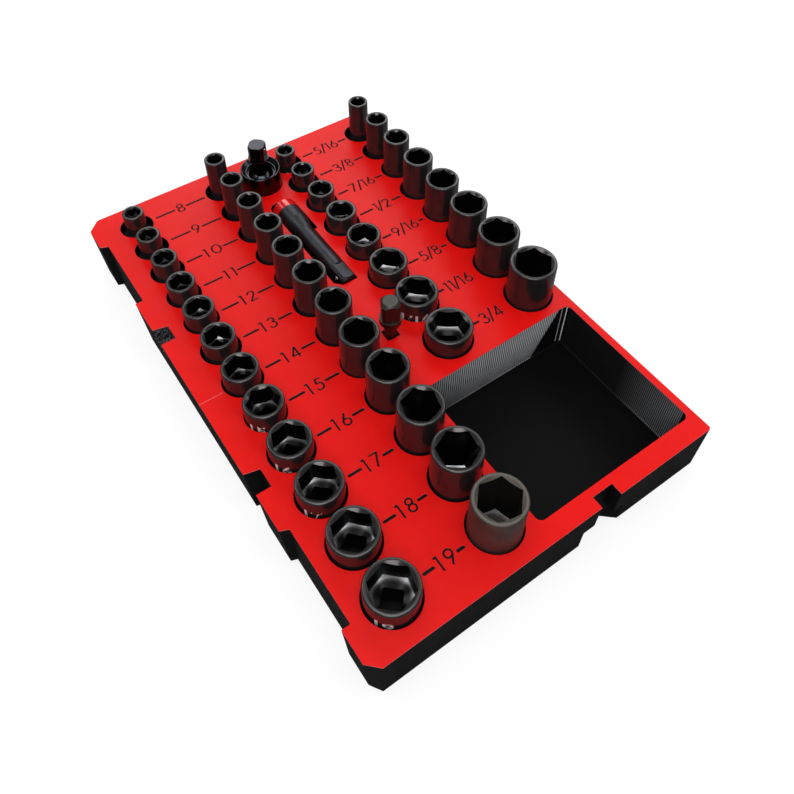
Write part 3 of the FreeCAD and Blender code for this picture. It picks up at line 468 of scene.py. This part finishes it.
def dark_print_finish():
    material, shader, place = start_material("dark_print")
    x, y, z = axes_of(place)
    layers = wave(z + noise(place, LAYER_SWAY_LENGTH) * LAYER_SWAY, LAYER_PITCH)
    grain = noise(place, PRINT_GRAIN, detail=4.0)
    patches = noise(place, PRINT_PATCH)
    light = (layers * LAYER_SHARE + patches * PATCH_SHARE + grain * GRAIN_SHARE - LIGHT_FROM).clamped()
    # Painted shade: the bin's floor is darkened towards the darkest black.
    painted_floor_shade = near(z, BIN_FLOOR, FLOOR_REACH)
    colour = mix_colours(light * (1.0 - painted_floor_shade * BIN_FLOOR_PAINTED_SHADE), PRINT_DARK, PRINT_LIGHT)
    # Painted sheen and glints on the bin walls, laid over the print.
    painted_sheen_and_glints = rear_wall_painted_sheen(x, y, z, patches) + right_wall_painted_sheen(x, y, z) + corner_painted_glints(x, y, z)
    colour = mix_colours(painted_sheen_and_glints.clamped(), colour, PAINTED_HIGHLIGHT_WHITE)
    # Painted glints of the key slot.
    colour = mix_colours(slot_painted_glints(place, x, y, z), colour, SLOT_GLINT_GREY)
    set_surface(shader, base_color=colour, roughness=PRINT_ROUGHNESS + grain * PRINT_ROUGHNESS_SPREAD,
                specular_ior_level=PRINT_MIRROR_LEVEL)
    add_bump(shader, layers + grain * GRAIN_RELIEF_SHARE, PRINT_RELIEF)
    return material


dark_print = dark_print_finish()
print("finish:", dark_print.name)

# %% [markdown]
# The sockets are blackened steel with a film of oil. The skin of oxide is thin: on the rim, where
# fingers rub, it is worn to grey, and the side keeps a faint brown cast with fine turning marks.
# Inside, the walls are darkened with painted shade, and the foot of the walls is rubbed to bare metal
# by nuts and bolts. A finish for each of these would need cuts in the mesh. Instead, one finish reads a
# number that the mesh carries, named soot. It says how deep the painted shade is, and below
# zero it means bare metal.

# %% Black steel finishes
OXIDE_DARK = (0.040, 0.037, 0.040)
OXIDE_BROWN = (0.080, 0.070, 0.072)
OXIDE_METAL = 0.72
OXIDE_CLOUD = 7 * MM
OXIDE_GRAIN = 0.9 * MM
OXIDE_RELIEF = 0.004 * MM
OXIDE_ROUGHNESS = 0.15
ROUGHER_IN_CLOUDS = 0.10
ROUGHER_WHERE_WORN = 0.12
TURNING_PITCH = 0.32 * MM
TURNING_SHARE = 0.5
RIM_GREY = (0.072, 0.076, 0.072)
RIM_DEPTH = 0.12 * MM
RIM_WAVER = 0.08 * MM
RIM_WAVER_LENGTH = 1.5 * MM
RUB_SIZE = 2 * MM
RUB_LEAST = 0.45
RUB_SPREAD = 0.7
PAINTED_SHADE_BLACK = (0.002, 0.002, 0.002)
BARE_LEDGE = (0.19, 0.197, 0.205)


def black_steel_finish(name, top, dark=OXIDE_DARK, light=OXIDE_BROWN, rim=RIM_GREY,
                       roughness=OXIDE_ROUGHNESS, shade_share=1.0):
    """Oiled oxide up to a rim at this height, where it is worn to bare grey."""
    material, shader, place = start_material(name)
    x, y, z = axes_of(place)
    clouds = noise(place, OXIDE_CLOUD)
    colour = mix_colours(clouds, dark, light)
    ragged = z + noise(place, RIM_WAVER_LENGTH) * RIM_WAVER
    worn = ramp_between(ragged, top - RIM_DEPTH, top) * (RUB_LEAST + noise(place, RUB_SIZE) * RUB_SPREAD)
    colour = mix_colours(worn, colour, rim)
    # Painted shade: the mesh's soot number darkens the inside towards black; below zero it gives bare metal.
    soot = add_node(material.node_tree, "ShaderNodeAttribute", {"attribute_name": "soot"}, output="Fac")
    colour = mix_colours((soot * shade_share).clamped(), colour, PAINTED_SHADE_BLACK)
    colour = mix_colours((soot * -1.0).clamped(), colour, BARE_LEDGE)
    set_surface(shader, base_color=colour, metallic=OXIDE_METAL,
                roughness=roughness + clouds * ROUGHER_IN_CLOUDS + worn * ROUGHER_WHERE_WORN)
    add_bump(shader, wave(z, TURNING_PITCH) * TURNING_SHARE + noise(place, OXIDE_GRAIN), OXIDE_RELIEF)
    return material


shallow_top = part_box("metric_shallow_19")[1].z
deep_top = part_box("metric_deep_19")[1].z
shallow_steel = black_steel_finish("shallow_socket_steel", shallow_top)
deep_steel = black_steel_finish("deep_socket_steel", deep_top)
print("finishes:", shallow_steel.name, deep_steel.name)

# %% [markdown]
# The deep 19 millimetre socket has seen the most use. Its black is rubbed to a matt warm grey all
# over, so it gets the same finish with paler colours, less gloss and less painted shade inside.

# %% Finish of the worn socket
WORN_DARK = (0.060, 0.052, 0.047)
WORN_LIGHT = (0.150, 0.130, 0.115)
WORN_RIM = (0.15, 0.14, 0.125)
WORN_ROUGHNESS = 0.50
WORN_SHADE_SHARE = 0.75
worn_steel = black_steel_finish("worn_socket_steel", deep_top, WORN_DARK, WORN_LIGHT, WORN_RIM,
                                roughness=WORN_ROUGHNESS, shade_share=WORN_SHADE_SHARE)
print("finish:", worn_steel.name)

# %% [markdown]
# Every socket is the same rule with other numbers: a turned blank, a hexagon with a conical lead-in at
# the mouth, a sloping floor and a square for the ratchet. Cutting them with booleans would leave thin
# and uneven faces, so one Geometry Nodes tree makes them all. It starts from a flat grid. One side of
# the grid becomes the turn about the axis, the other walks along the wall: up the outside, over the
# rim, down the hexagon and out through the square.

# %% Small helpers for geometry trees
def start_geometry_tree(name, floats):
    """Empty geometry tree with an output, number inputs by name, and a material input."""
    tree = bpy.data.node_groups.new(name, "GeometryNodeTree")
    tree.interface.new_socket("Geometry", in_out="OUTPUT", socket_type="NodeSocketGeometry")
    for label in floats:
        tree.interface.new_socket(label, in_out="INPUT", socket_type="NodeSocketFloat")
    tree.interface.new_socket("Finish", in_out="INPUT", socket_type="NodeSocketMaterial")
    return tree, outputs_of(add_node(tree, "NodeGroupInput"))


def shade_by_angle(tree, geometry, limit):
    """Smooth faces, with the edges that bend by more than the limit kept crisp."""
    smooth = add_node(tree, "GeometryNodeSetShadeSmooth", {"domain": "FACE"}, {"Geometry": geometry})
    crisp = add_node(tree, "GeometryNodeInputMeshEdgeAngle").math("GREATER_THAN", limit)
    return add_node(tree, "GeometryNodeSetShadeSmooth", {"domain": "EDGE"},
                    {"Geometry": smooth, "Selection": crisp, "Shade Smooth": False})


def close_geometry_tree(tree, geometry, finish):
    """End the tree in real geometry with its finish set."""
    real = add_node(tree, "GeometryNodeRealizeInstances", None, {0: geometry})
    painted = add_node(tree, "GeometryNodeSetMaterial", None, {"Geometry": real, "Material": finish})
    sink = tree.nodes.new("NodeGroupOutput")
    tree.links.new(painted.socket, sink.inputs[0])


print("geometry tree helpers ready")

# %% From a tree or a text to a plain piece
def plain_mesh(holder, name):
    """Evaluate an object, keep the result as a mesh, and remove the object with its modifiers."""
    bpy.context.scene.collection.objects.link(holder)
    graph = bpy.context.evaluated_depsgraph_get()
    mesh = bpy.data.meshes.new_from_object(holder.evaluated_get(graph), depsgraph=graph)
    holder.modifiers.clear()
    bpy.data.objects.remove(holder)
    mesh.name = name
    return mesh


def place_mesh(mesh, name):
    """Put a mesh into the scene as an object at the origin."""
    piece = bpy.data.objects.new(name, mesh)
    bpy.context.scene.collection.objects.link(piece)
    return piece


def run_geometry_tree(tree, name, values):
    """Run a tree with these named inputs and keep the result as a plain mesh object."""
    holder = bpy.data.objects.new(name + "_holder", bpy.data.meshes.new(name + "_start"))
    modifier = holder.modifiers.new("make", "NODES")
    modifier.node_group = tree
    for item in tree.interface.items_tree:
        if item.in_out == "INPUT":
            modifier[item.identifier] = values[item.name]
    return place_mesh(plain_mesh(holder, name), name)


print("plain pieces ready")

# %% Sizes that the sockets share
CORNER_WALL = 1.45 * MM
NOSE_GROWTH_SHARE = 1.2
SHOULDER_LENGTH = 3.0 * MM
FOOT_ROUND = 0.6 * MM
HEX_FLOOR_CONE = 1.8 * MM
LEAD_IN_DEPTH = 1.1 * MM
LEAD_IN_MARGIN = 0.2 * MM
DRIVE_SQUARE = 9.6 * MM
DRIVE_CORNER_RADIUS = 6.2 * MM
DRIVE_DEPTH = 11.0 * MM
BORE_SHARE = 0.45
# Painted shade inside the socket: how dark the walls and the ledge are, and bare metal below zero.
SHADE_EDGE_STEP = 0.06 * MM
WALL_PAINTED_SHADE = 0.95
LEDGE_PAINTED_SHADE = 0.92
BARE_METAL_LEVEL = -1.0
LEDGE_BAND_SHARE = 0.42
COLUMNS = 120
ROUND_STEPS = 4
SHARP_ANGLE = math.radians(32)
MERGE_REACH = 0.001 * MM
SOCKET_INPUTS = ["Across Flats", "Nose Radius", "Foot Radius", "Length", "Drive Length", "Hex Depth",
                 "Rim Round", "Through Square", "Centre X", "Centre Y", "Foot Level", "Turn"]
print("each socket has", len(SOCKET_INPUTS), "inputs and", COLUMNS, "columns of faces")

# %% The socket's wall, ring by ring
def regular_outline(angle, sides):
    """Distance from the axis to a regular outline whose flats are one unit away from it."""
    half_step = math.pi / sides
    return 1.0 / angle.math("WRAP", -half_step, half_step).math("COSINE")


def rim_points(nose, length, rounding):
    """A quarter round from the side to the top of the rim."""
    points = []
    for step in range(ROUND_STEPS + 1):
        bend = math.pi / 2 * step / ROUND_STEPS
        points.append((nose - rounding * (1 - math.cos(bend)), length - rounding * (1 - math.sin(bend)), 0.0))
    return points


def wall_points(angle, size):
    """Radius, height and painted shade of each ring along the wall, from the foot over the rim and back down.
    """
    flats, nose, foot, length = (size[name] for name in SOCKET_INPUTS[:4])
    flat = flats * 0.5
    hexagon = flat * regular_outline(angle, 6)
    square = (regular_outline(angle, 4) * (DRIVE_SQUARE / 2)).math("MINIMUM", DRIVE_CORNER_RADIUS)
    bore = flats.math("MINIMUM", DRIVE_SQUARE) * BORE_SHARE
    lead_in = flats / (2 * math.cos(math.pi / 6)) + LEAD_IN_MARGIN
    scallop = (lead_in - hexagon) / (lead_in - flat) * LEAD_IN_DEPTH
    hex_floor = length - size["Hex Depth"]
    opening = bore + size["Through Square"] * (square.math("MINIMUM", hexagon) - bore)
    drop = ((flat - opening) / (flat - bore)).clamped() * HEX_FLOOR_CONE
    ledge = opening.clamped(flat, hexagon)
    wall_foot = hex_floor + (hexagon - ledge) / (flat - bore) * HEX_FLOOR_CONE
    outside = [(square, 0.0, 0.0), (foot - FOOT_ROUND, 0.0, 0.0), (foot, FOOT_ROUND, 0.0),
               (foot, size["Drive Length"], 0.0), (nose, size["Drive Length"] + SHOULDER_LENGTH, 0.0)]
    # Painted shade: the hexagon walls, the inner ledge and the square carry soot above zero.
    mouth = [(lead_in, length, 0.0), (hexagon, length - scallop, 0.0),
             (hexagon, length - scallop - SHADE_EDGE_STEP, WALL_PAINTED_SHADE), (hexagon, wall_foot + SHADE_EDGE_STEP, WALL_PAINTED_SHADE)]
    floor = [(hexagon, wall_foot, BARE_METAL_LEVEL), (ledge, hex_floor, BARE_METAL_LEVEL),
             (ledge + (opening - ledge) * LEDGE_BAND_SHARE, hex_floor - drop * LEDGE_BAND_SHARE, LEDGE_PAINTED_SHADE),
             (opening, hex_floor - drop, LEDGE_PAINTED_SHADE)]
    drive = [(opening, DRIVE_DEPTH, 1.0), (square, DRIVE_DEPTH, 1.0), (square, 0.0, 0.0)]
    return outside + rim_points(nose, length, size["Rim Round"]) + mouth + floor + drive


print("the rim is rounded in", ROUND_STEPS, "steps")

# %% [markdown]
# Moving the points of a grid is easier than joining tubes and rings, because the grid's faces are
# already joined. Each point asks which ring it is on and adds up the radius, height and painted shade
# of that ring. The two ends of the wall and the first and last column then lie on each other, and a
# merge closes them.

# %% Build the socket tree
def build_socket_tree():
    tree, size = start_geometry_tree("socket_maker", SOCKET_INPUTS)
    x, y, _ = axes_of(add_node(tree, "GeometryNodeInputPosition"))
    angle = (x + COLUMNS / 2).math("ROUND") * (2 * math.pi / COLUMNS)
    points = wall_points(angle, size)
    ring = (y + (len(points) - 1) / 2).math("ROUND")
    sums = [0.0, 0.0, 0.0]
    for index, point in enumerate(points):
        chosen = ring.math("COMPARE", float(index), 0.5)
        sums = [total + chosen * value for total, value in zip(sums, point)]
    radius, height, soot = sums
    turned = angle + size["Turn"]
    place = add_node(tree, "ShaderNodeCombineXYZ", None, {
        0: size["Centre X"] + radius * turned.math("COSINE"),
        1: size["Centre Y"] + radius * turned.math("SINE"),
        2: size["Foot Level"] + height,
    })
    grid = add_node(tree, "GeometryNodeMeshGrid", None, {
        "Size X": float(COLUMNS), "Size Y": float(len(points) - 1),
        "Vertices X": COLUMNS + 1, "Vertices Y": len(points)})
    sooted = add_node(tree, "GeometryNodeStoreNamedAttribute", {"data_type": "FLOAT", "domain": "POINT"},
                      {"Geometry": grid, "Name": "soot", "Value": soot})
    shaped = add_node(tree, "GeometryNodeSetPosition", None, {"Geometry": sooted, "Position": place})
    merged = add_node(tree, "GeometryNodeMergeByDistance", None,
                      {"Geometry": shaped, "Distance": MERGE_REACH})
    close_geometry_tree(tree, shade_by_angle(tree, merged, SHARP_ANGLE), size["Finish"])
    return tree


socket_tree = build_socket_tree()
print("socket tree nodes:", len(socket_tree.nodes))

# %% [markdown]
# Each socket reads its centre, length and drive end from its node's box in the frame, and its mouth
# from its name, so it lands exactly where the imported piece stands.

# %% Read each socket's sizes
INCH = 25.4 * MM
DRIVE_LENGTHS = {"shallow": 13.0 * MM, "deep": 20.0 * MM}
HEX_DEPTHS = {"shallow": 13.5 * MM, "deep": 32.0 * MM}
HEX_DEPTH_SHARE = 0.95
HEX_DEPTH_LESS = 1.2 * MM
SMALL_RIM_ROUND = 0.7 * MM
LARGE_RIM_ROUND = 1.05 * MM
LARGE_RIM_FROM = 13.9 * MM
SMALL_SIZE_LIMIT = 12.4 * MM


def size_of(node_name):
    """Width across the flats, from the size at the end of the node's name."""
    words = node_name.split("_")[2:]
    if node_name.startswith("metric"):
        return int(words[0]) * MM
    return int(words[0]) / int(words[1]) * INCH


def nose_radius(node_name):
    """Radius of the end that holds the hexagon."""
    return CORNER_WALL + NOSE_GROWTH_SHARE * size_of(node_name) / 2


def hex_depth(kind, flats):
    """Shallow sockets have a hexagon almost as deep as it is wide, up to a limit."""
    if kind == "deep":
        return HEX_DEPTHS[kind]
    return min(HEX_DEPTHS[kind], HEX_DEPTH_SHARE * flats - HEX_DEPTH_LESS)


def socket_values(name, turn, finish):
    """Inputs of the tree for one socket, in its own place."""
    low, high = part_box(name)
    centre = (low + high) / 2
    kind = name.split("_")[1]
    flats = size_of(name)
    nose = nose_radius(name)
    return {
        "Across Flats": flats, "Nose Radius": nose, "Foot Radius": max((high.x - low.x) / 2, nose),
        "Length": high.z - low.z, "Drive Length": DRIVE_LENGTHS[kind], "Hex Depth": hex_depth(kind, flats),
        "Rim Round": LARGE_RIM_ROUND if flats > LARGE_RIM_FROM else SMALL_RIM_ROUND,
        "Through Square": float(flats > SMALL_SIZE_LIMIT), "Centre X": centre.x, "Centre Y": centre.y,
        "Foot Level": low.z, "Turn": math.radians(turn), "Finish": finish,
    }


socket_names = sorted(name for name in nodes if "_shallow_" in name or "_deep_" in name)
print("sockets:", len(socket_names), "from", round(min(map(size_of, socket_names)) / MM, 2),
      "to", round(max(map(size_of, socket_names)) / MM, 2), "mm across the flats")

# %% [markdown]
# Nothing lines the sockets up, so each hexagon stands at an angle of its own. One angle is enough for
# a socket, because the tree turns everything in it. The angles are in degrees and follow the
# photograph, from the smallest socket to the largest of its row.

# %% Make the sockets
TURNS = {
    "metric_shallow": (25, 57, 47, 50, 40, 44, 50, 13, 41, 48, 43, 47),
    "metric_deep": (25, 40, 50, 50, 30, 55, 18, 35, 43, 45, 54, 17),
    "inch_shallow": (25, 0, 35, 0, 24, 46, 47, 54),
    "inch_deep": (0, 0, 0, 15, 17, 22, 28, 17),
}


def finish_for(name):
    """The steel finish of a socket."""
    if name == "metric_deep_19":
        return worn_steel
    return deep_steel if "_deep_" in name else shallow_steel


for row_name, turns in TURNS.items():
    row = sorted((name for name in socket_names if name.startswith(row_name)), key=size_of)
    faces = 0
    for name, turn in zip(row, turns):
        piece = run_geometry_tree(socket_tree, "fine_" + name, socket_values(name, turn, finish_for(name)))
        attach(piece, name)
        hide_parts(name)
        faces += len(piece.data.polygons)
    print(row_name, "made", len(row), "sockets,", faces, "faces")

# %% [markdown]
# The drive tools are blackened steel too, each in its own way: the universal joint is glossy, the
# extension bar is a matt phosphate grey, and the adapter is a worn greenish grey. They differ only in
# colour, gloss and the size of their clouds, so one function makes a finish from these.

# %% Steel finishes for the drive tools
JOINT_DARK = (0.030, 0.031, 0.036)
JOINT_LIGHT = (0.055, 0.057, 0.064)
BAR_DARK = (0.032, 0.033, 0.038)
BAR_LIGHT = (0.076, 0.077, 0.086)
ADAPTER_DARK = (0.058, 0.056, 0.052)
ADAPTER_LIGHT = (0.125, 0.126, 0.118)
SPRING_STEEL = (0.30, 0.29, 0.28)
BRIGHT_STEEL = (0.78, 0.77, 0.75)
TOOL_GRAIN = 0.7 * MM
TOOL_RELIEF = 0.008 * MM
TOOL_ROUGHNESS_SPREAD = 0.14
CLOUD_SIZES = {"joint": 5 * MM, "bar": 6 * MM, "adapter": 4 * MM, "spring": 2 * MM}
CLOUD_SHARE = 0.7


def tool_steel_finish(kind, dark, light, roughness):
    """Coated steel with cloudy colour and a fine grain."""
    material, shader, place = start_material(kind + "_steel")
    clouds = noise(place, CLOUD_SIZES[kind])
    grain = noise(place, TOOL_GRAIN)
    colour = mix_colours(clouds * CLOUD_SHARE + grain * (1 - CLOUD_SHARE), dark, light)
    set_surface(shader, base_color=colour, metallic=1.0, roughness=roughness + grain * TOOL_ROUGHNESS_SPREAD)
    add_bump(shader, grain, TOOL_RELIEF)
    return material


joint_steel = tool_steel_finish("joint", JOINT_DARK, JOINT_LIGHT, roughness=0.16)
bar_steel = tool_steel_finish("bar", BAR_DARK, BAR_LIGHT, roughness=0.36)
adapter_steel = tool_steel_finish("adapter", ADAPTER_DARK, ADAPTER_LIGHT, roughness=0.40)
spring_steel = tool_steel_finish("spring", SPRING_STEEL, BRIGHT_STEEL, roughness=0.30)
print("finishes:", joint_steel.name, bar_steel.name, adapter_steel.name, spring_steel.name)

# %% [markdown]
# The small balls that snap into a socket are ground and left bright, in one even colour, so that
# colour is set on the shader itself. The band round the extension bar is a deep glossy red.

# %% Finishes for the balls and the band
BALL_ROUGHNESS = 0.10
BAND_RED = (0.48, 0.007, 0.010)
BAND_CLOUD = 3 * MM
BAND_IOR = 1.5
BAND_COAT = 0.5
BAND_ROUGHNESS = 0.12
BAND_ROUGHNESS_SPREAD = 0.06


def ball_finish():
    material, shader, place = start_material("ball_steel")
    grain = noise(place, TOOL_GRAIN)
    set_surface(shader, base_color=BRIGHT_STEEL, metallic=1.0,
                roughness=BALL_ROUGHNESS + grain * TOOL_ROUGHNESS_SPREAD)
    add_bump(shader, grain, TOOL_RELIEF)
    return material


def band_finish():
    material, shader, place = start_material("red_band")
    clouds = noise(place, BAND_CLOUD)
    colour = mix_colours(clouds, BAND_RED, DECK_RED)
    roughness = BAND_ROUGHNESS + clouds * BAND_ROUGHNESS_SPREAD
    set_surface(shader, base_color=colour, roughness=roughness, ior=BAND_IOR, coat_weight=BAND_COAT)
    return material


ball_steel = ball_finish()
red_band = band_finish()
print("finishes:", ball_steel.name, red_band.name)

# %% [markdown]
# The block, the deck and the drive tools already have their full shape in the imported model, so they
# are not made again and only get their finish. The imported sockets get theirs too, although the finer
# ones stand in for them.

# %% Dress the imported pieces
DRESS = {
    "tray_body": dark_print, "top_skin": red_deck, "joint_housing": joint_steel,
    "joint_snap_ring": joint_steel, "joint_cross_pin": spring_steel, "joint_tang": joint_steel,
    "joint_tang_ball": ball_steel, "joint_tang_spring": spring_steel, "extension_bar": bar_steel,
    "extension_ring": red_band, "extension_ball": ball_steel, "extension_spring": spring_steel,
    "adapter_body": adapter_steel, "adapter_ball": ball_steel, "adapter_spring": spring_steel,
}


def dress(name, finish):
    """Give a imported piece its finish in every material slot."""
    mesh = nodes[name].data
    if not mesh.materials:
        mesh.materials.append(finish)
    for index in range(len(mesh.materials)):
        mesh.materials[index] = finish


for name, finish in DRESS.items():
    dress(name, finish)
for name in socket_names:
    dress(name, finish_for(name))
print("dressed", len(DRESS) + len(socket_names), "packed pieces")

# %% [markdown]
# Some shallow sockets show their size in white, low on the side that faces the front left, where the
# edge of the pocket hides the lower half of it. A picture could be laid on the wall, but a thin
# plate is a real shape and stays crisp. Each figure is a text turned into a plate and bent round the
# socket, a hair proud of its wall.

# %% White size figures
FIGURE_HEIGHT = 7.5 * MM
FIGURE_HEIGHT_SHARE = 0.72
FIGURE_BELOW_DECK = 3.8 * MM
FIGURE_PROUD = 0.03 * MM
FIGURE_HALF_THICKNESS = 0.02 * MM
FIGURE_BOLD = 0.19 * MM
FIGURE_DIRECTION = math.radians(-144)
FIGURE_WHITE = (0.90, 0.90, 0.88)
FIGURE_WEAR_SIZE = 1.1 * MM
FIGURE_WEAR_STRENGTH = 0.25
FIGURE_ROUGHNESS = 0.55
FIGURE_ROUGHNESS_SPREAD = 0.1
FIGURES = {"metric_shallow": ("15", "16", "17", "19"), "inch_shallow": ("11/16",)}


def figure_finish():
    material, shader, place = start_material("figure_white")
    wear = noise(place, FIGURE_WEAR_SIZE)
    colour = mix_colours(wear * FIGURE_WEAR_STRENGTH, FIGURE_WHITE, OXIDE_BROWN)
    set_surface(shader, base_color=colour, roughness=FIGURE_ROUGHNESS + wear * FIGURE_ROUGHNESS_SPREAD)
    return material


def figure_plate(text, name):
    """The text as a thin flat mesh, centred on its own origin."""
    curve = bpy.data.curves.new(name, "FONT")
    curve.body = text
    curve.align_x = "CENTER"
    curve.size = FIGURE_HEIGHT / FIGURE_HEIGHT_SHARE
    curve.extrude = FIGURE_HALF_THICKNESS
    curve.offset = FIGURE_BOLD
    return plain_mesh(bpy.data.objects.new(name, curve), name)


def bend_round(mesh, node_name):
    """Bend a flat plate round a socket's side, so that it faces the direction of the figures."""
    low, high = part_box(node_name)
    centre = (low + high) / 2
    radius = nose_radius(node_name)
    for vertex in mesh.vertices:
        angle = FIGURE_DIRECTION + vertex.co.x / radius
        reach = radius + FIGURE_PROUD + vertex.co.z
        vertex.co = (centre.x + reach * math.cos(angle), centre.y + reach * math.sin(angle),
                     deck - FIGURE_BELOW_DECK + vertex.co.y)


figure_white = figure_finish()
for row_name, labels in FIGURES.items():
    for label in labels:
        node_name = row_name + "_" + label.replace("/", "_")
        mesh = figure_plate(label, "figures_" + node_name)
        bend_round(mesh, node_name)
        mesh.materials.clear()
        mesh.materials.append(figure_white)
        piece = place_mesh(mesh, "figures_" + node_name)
        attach(piece, node_name)
print("size figures on", sum(map(len, FIGURES.values())), "sockets")

# %% [markdown]
# The floor is plain and pale. A white floor under strong lamps would wash the black steel out, so the
# lamps stay weak, and only what the camera sees of the floor is made to glow. What the steel mirrors
# of it is dimmer.

# %% Floor
FLOOR_SIZE = 6.0
FLOOR_COLOUR = (0.75, 0.75, 0.75)
FLOOR_SEEN_COLOUR = (0.22, 0.22, 0.22)
FLOOR_SEEN_GLOW = (0.80, 0.80, 0.80)
FLOOR_MIRRORED = (0.22, 0.22, 0.22)
NO_GLOW = (0.0, 0.0, 0.0)
FLOOR_ROUGHNESS = 0.9


def floor_finish():
    material, shader, place = start_material("floor_white")
    rays = outputs_of(add_node(material.node_tree, "ShaderNodeLightPath"))
    colour = mix_colours(rays["Is Glossy Ray"], FLOOR_COLOUR, FLOOR_MIRRORED)
    colour = mix_colours(rays["Is Camera Ray"], colour, FLOOR_SEEN_COLOUR)
    glow = mix_colours(rays["Is Camera Ray"], NO_GLOW, FLOOR_SEEN_GLOW)
    set_surface(shader, base_color=colour, roughness=FLOOR_ROUGHNESS)
    set_surface(shader, emission_color=glow, emission_strength=1.0)
    return material


half = FLOOR_SIZE / 2
floor_mesh = bpy.data.meshes.new("floor")
corners = [(-half, -half, 0), (half, -half, 0), (half, half, 0), (-half, half, 0)]
floor_mesh.from_pydata(corners, [], [(0, 1, 2, 3)])
floor_mesh.materials.append(floor_finish())
place_mesh(floor_mesh, "floor")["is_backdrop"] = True
print("floor", FLOOR_SIZE, "m wide")

# %% [markdown]
# The sky is an even soft white, dimmer in mirrors, and large panels all round give the steel
# something to reflect. A long panel low at the rear right gives the far part of the deck its paler
# sheen and the sockets their bright edges. The near part of the deck mirrors the dim sky above that
# panel, so its red stays deep. One lamp could light the tray as well, but black steel shows what
# stands round it, and small lamps would show as dots.

# %% Sky and lamps
SKY_LIGHT = 0.26
SKY_MIRRORED = 0.10
SKY_WHITE = (1.0, 1.0, 1.0, 1.0)
PANEL_TARGET = Vector((0, 0, 30)) * MM
# Each panel: azimuth from the rear towards the right, height angle, distance, two sides, power
PANELS = {
    "rear_left_panel": (-33, 48, 1.3, (0.5, 0.4), 2.0),
    "right_panel": (98, 38, 1.4, (0.6, 0.5), 2.5),
    "camera_side_panel": (215, 48, 1.4, (0.7, 0.4), 4.5),
    "overhead_panel": (215, 81, 1.2, (1.05, 0.40), 6.2),
    "rear_right_panel": (40, 38, 1.3, (1.5, 0.45), 7.0),
}


def make_sky():
    world = bpy.data.worlds.new("sky")
    bpy.context.scene.world = world
    world.use_nodes = True
    background = next(node for node in world.node_tree.nodes if node.type == "BACKGROUND")
    rays = outputs_of(add_node(world.node_tree, "ShaderNodeLightPath"))
    seen = rays["Is Camera Ray"]
    unseen_strength = SKY_LIGHT + rays["Is Glossy Ray"] * (SKY_MIRRORED - SKY_LIGHT)
    strength = seen + (1.0 - seen) * unseen_strength
    world.node_tree.links.new(strength.socket, background.inputs["Strength"])
    background.inputs["Color"].default_value = SKY_WHITE


def make_panel(name, azimuth, height, distance, size, power):
    """Soft rectangular lamp that faces the tray from this direction."""
    lamp = bpy.data.lights.new(name, "AREA")
    lamp.shape = "RECTANGLE"
    lamp.size, lamp.size_y = size
    lamp.energy = power
    around = math.radians(azimuth)
    above = math.radians(height)
    away = Vector((math.sin(around) * math.cos(above), math.cos(around) * math.cos(above), math.sin(above)))
    panel = bpy.data.objects.new(name, lamp)
    panel.location = PANEL_TARGET + away * distance
    panel.rotation_euler = (-away).to_track_quat("-Z", "Y").to_euler()
    bpy.context.scene.collection.objects.link(panel)


make_sky()
for name, values in PANELS.items():
    make_panel(name, *values)
bpy.context.scene.view_settings.view_transform = "Standard"
print("sky and", len(PANELS), "panels ready")

# %% [markdown]
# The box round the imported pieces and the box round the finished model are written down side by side,
# so that anyone can see that the finer pieces did not make the tray larger.

# %% Write the two boxes and finish
visual_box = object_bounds()
for title, box in (("cad", cad_box), ("visual", visual_box)):
    print(title, "box, mm:", [[round(value / MM, 2) for value in corner] for corner in box])
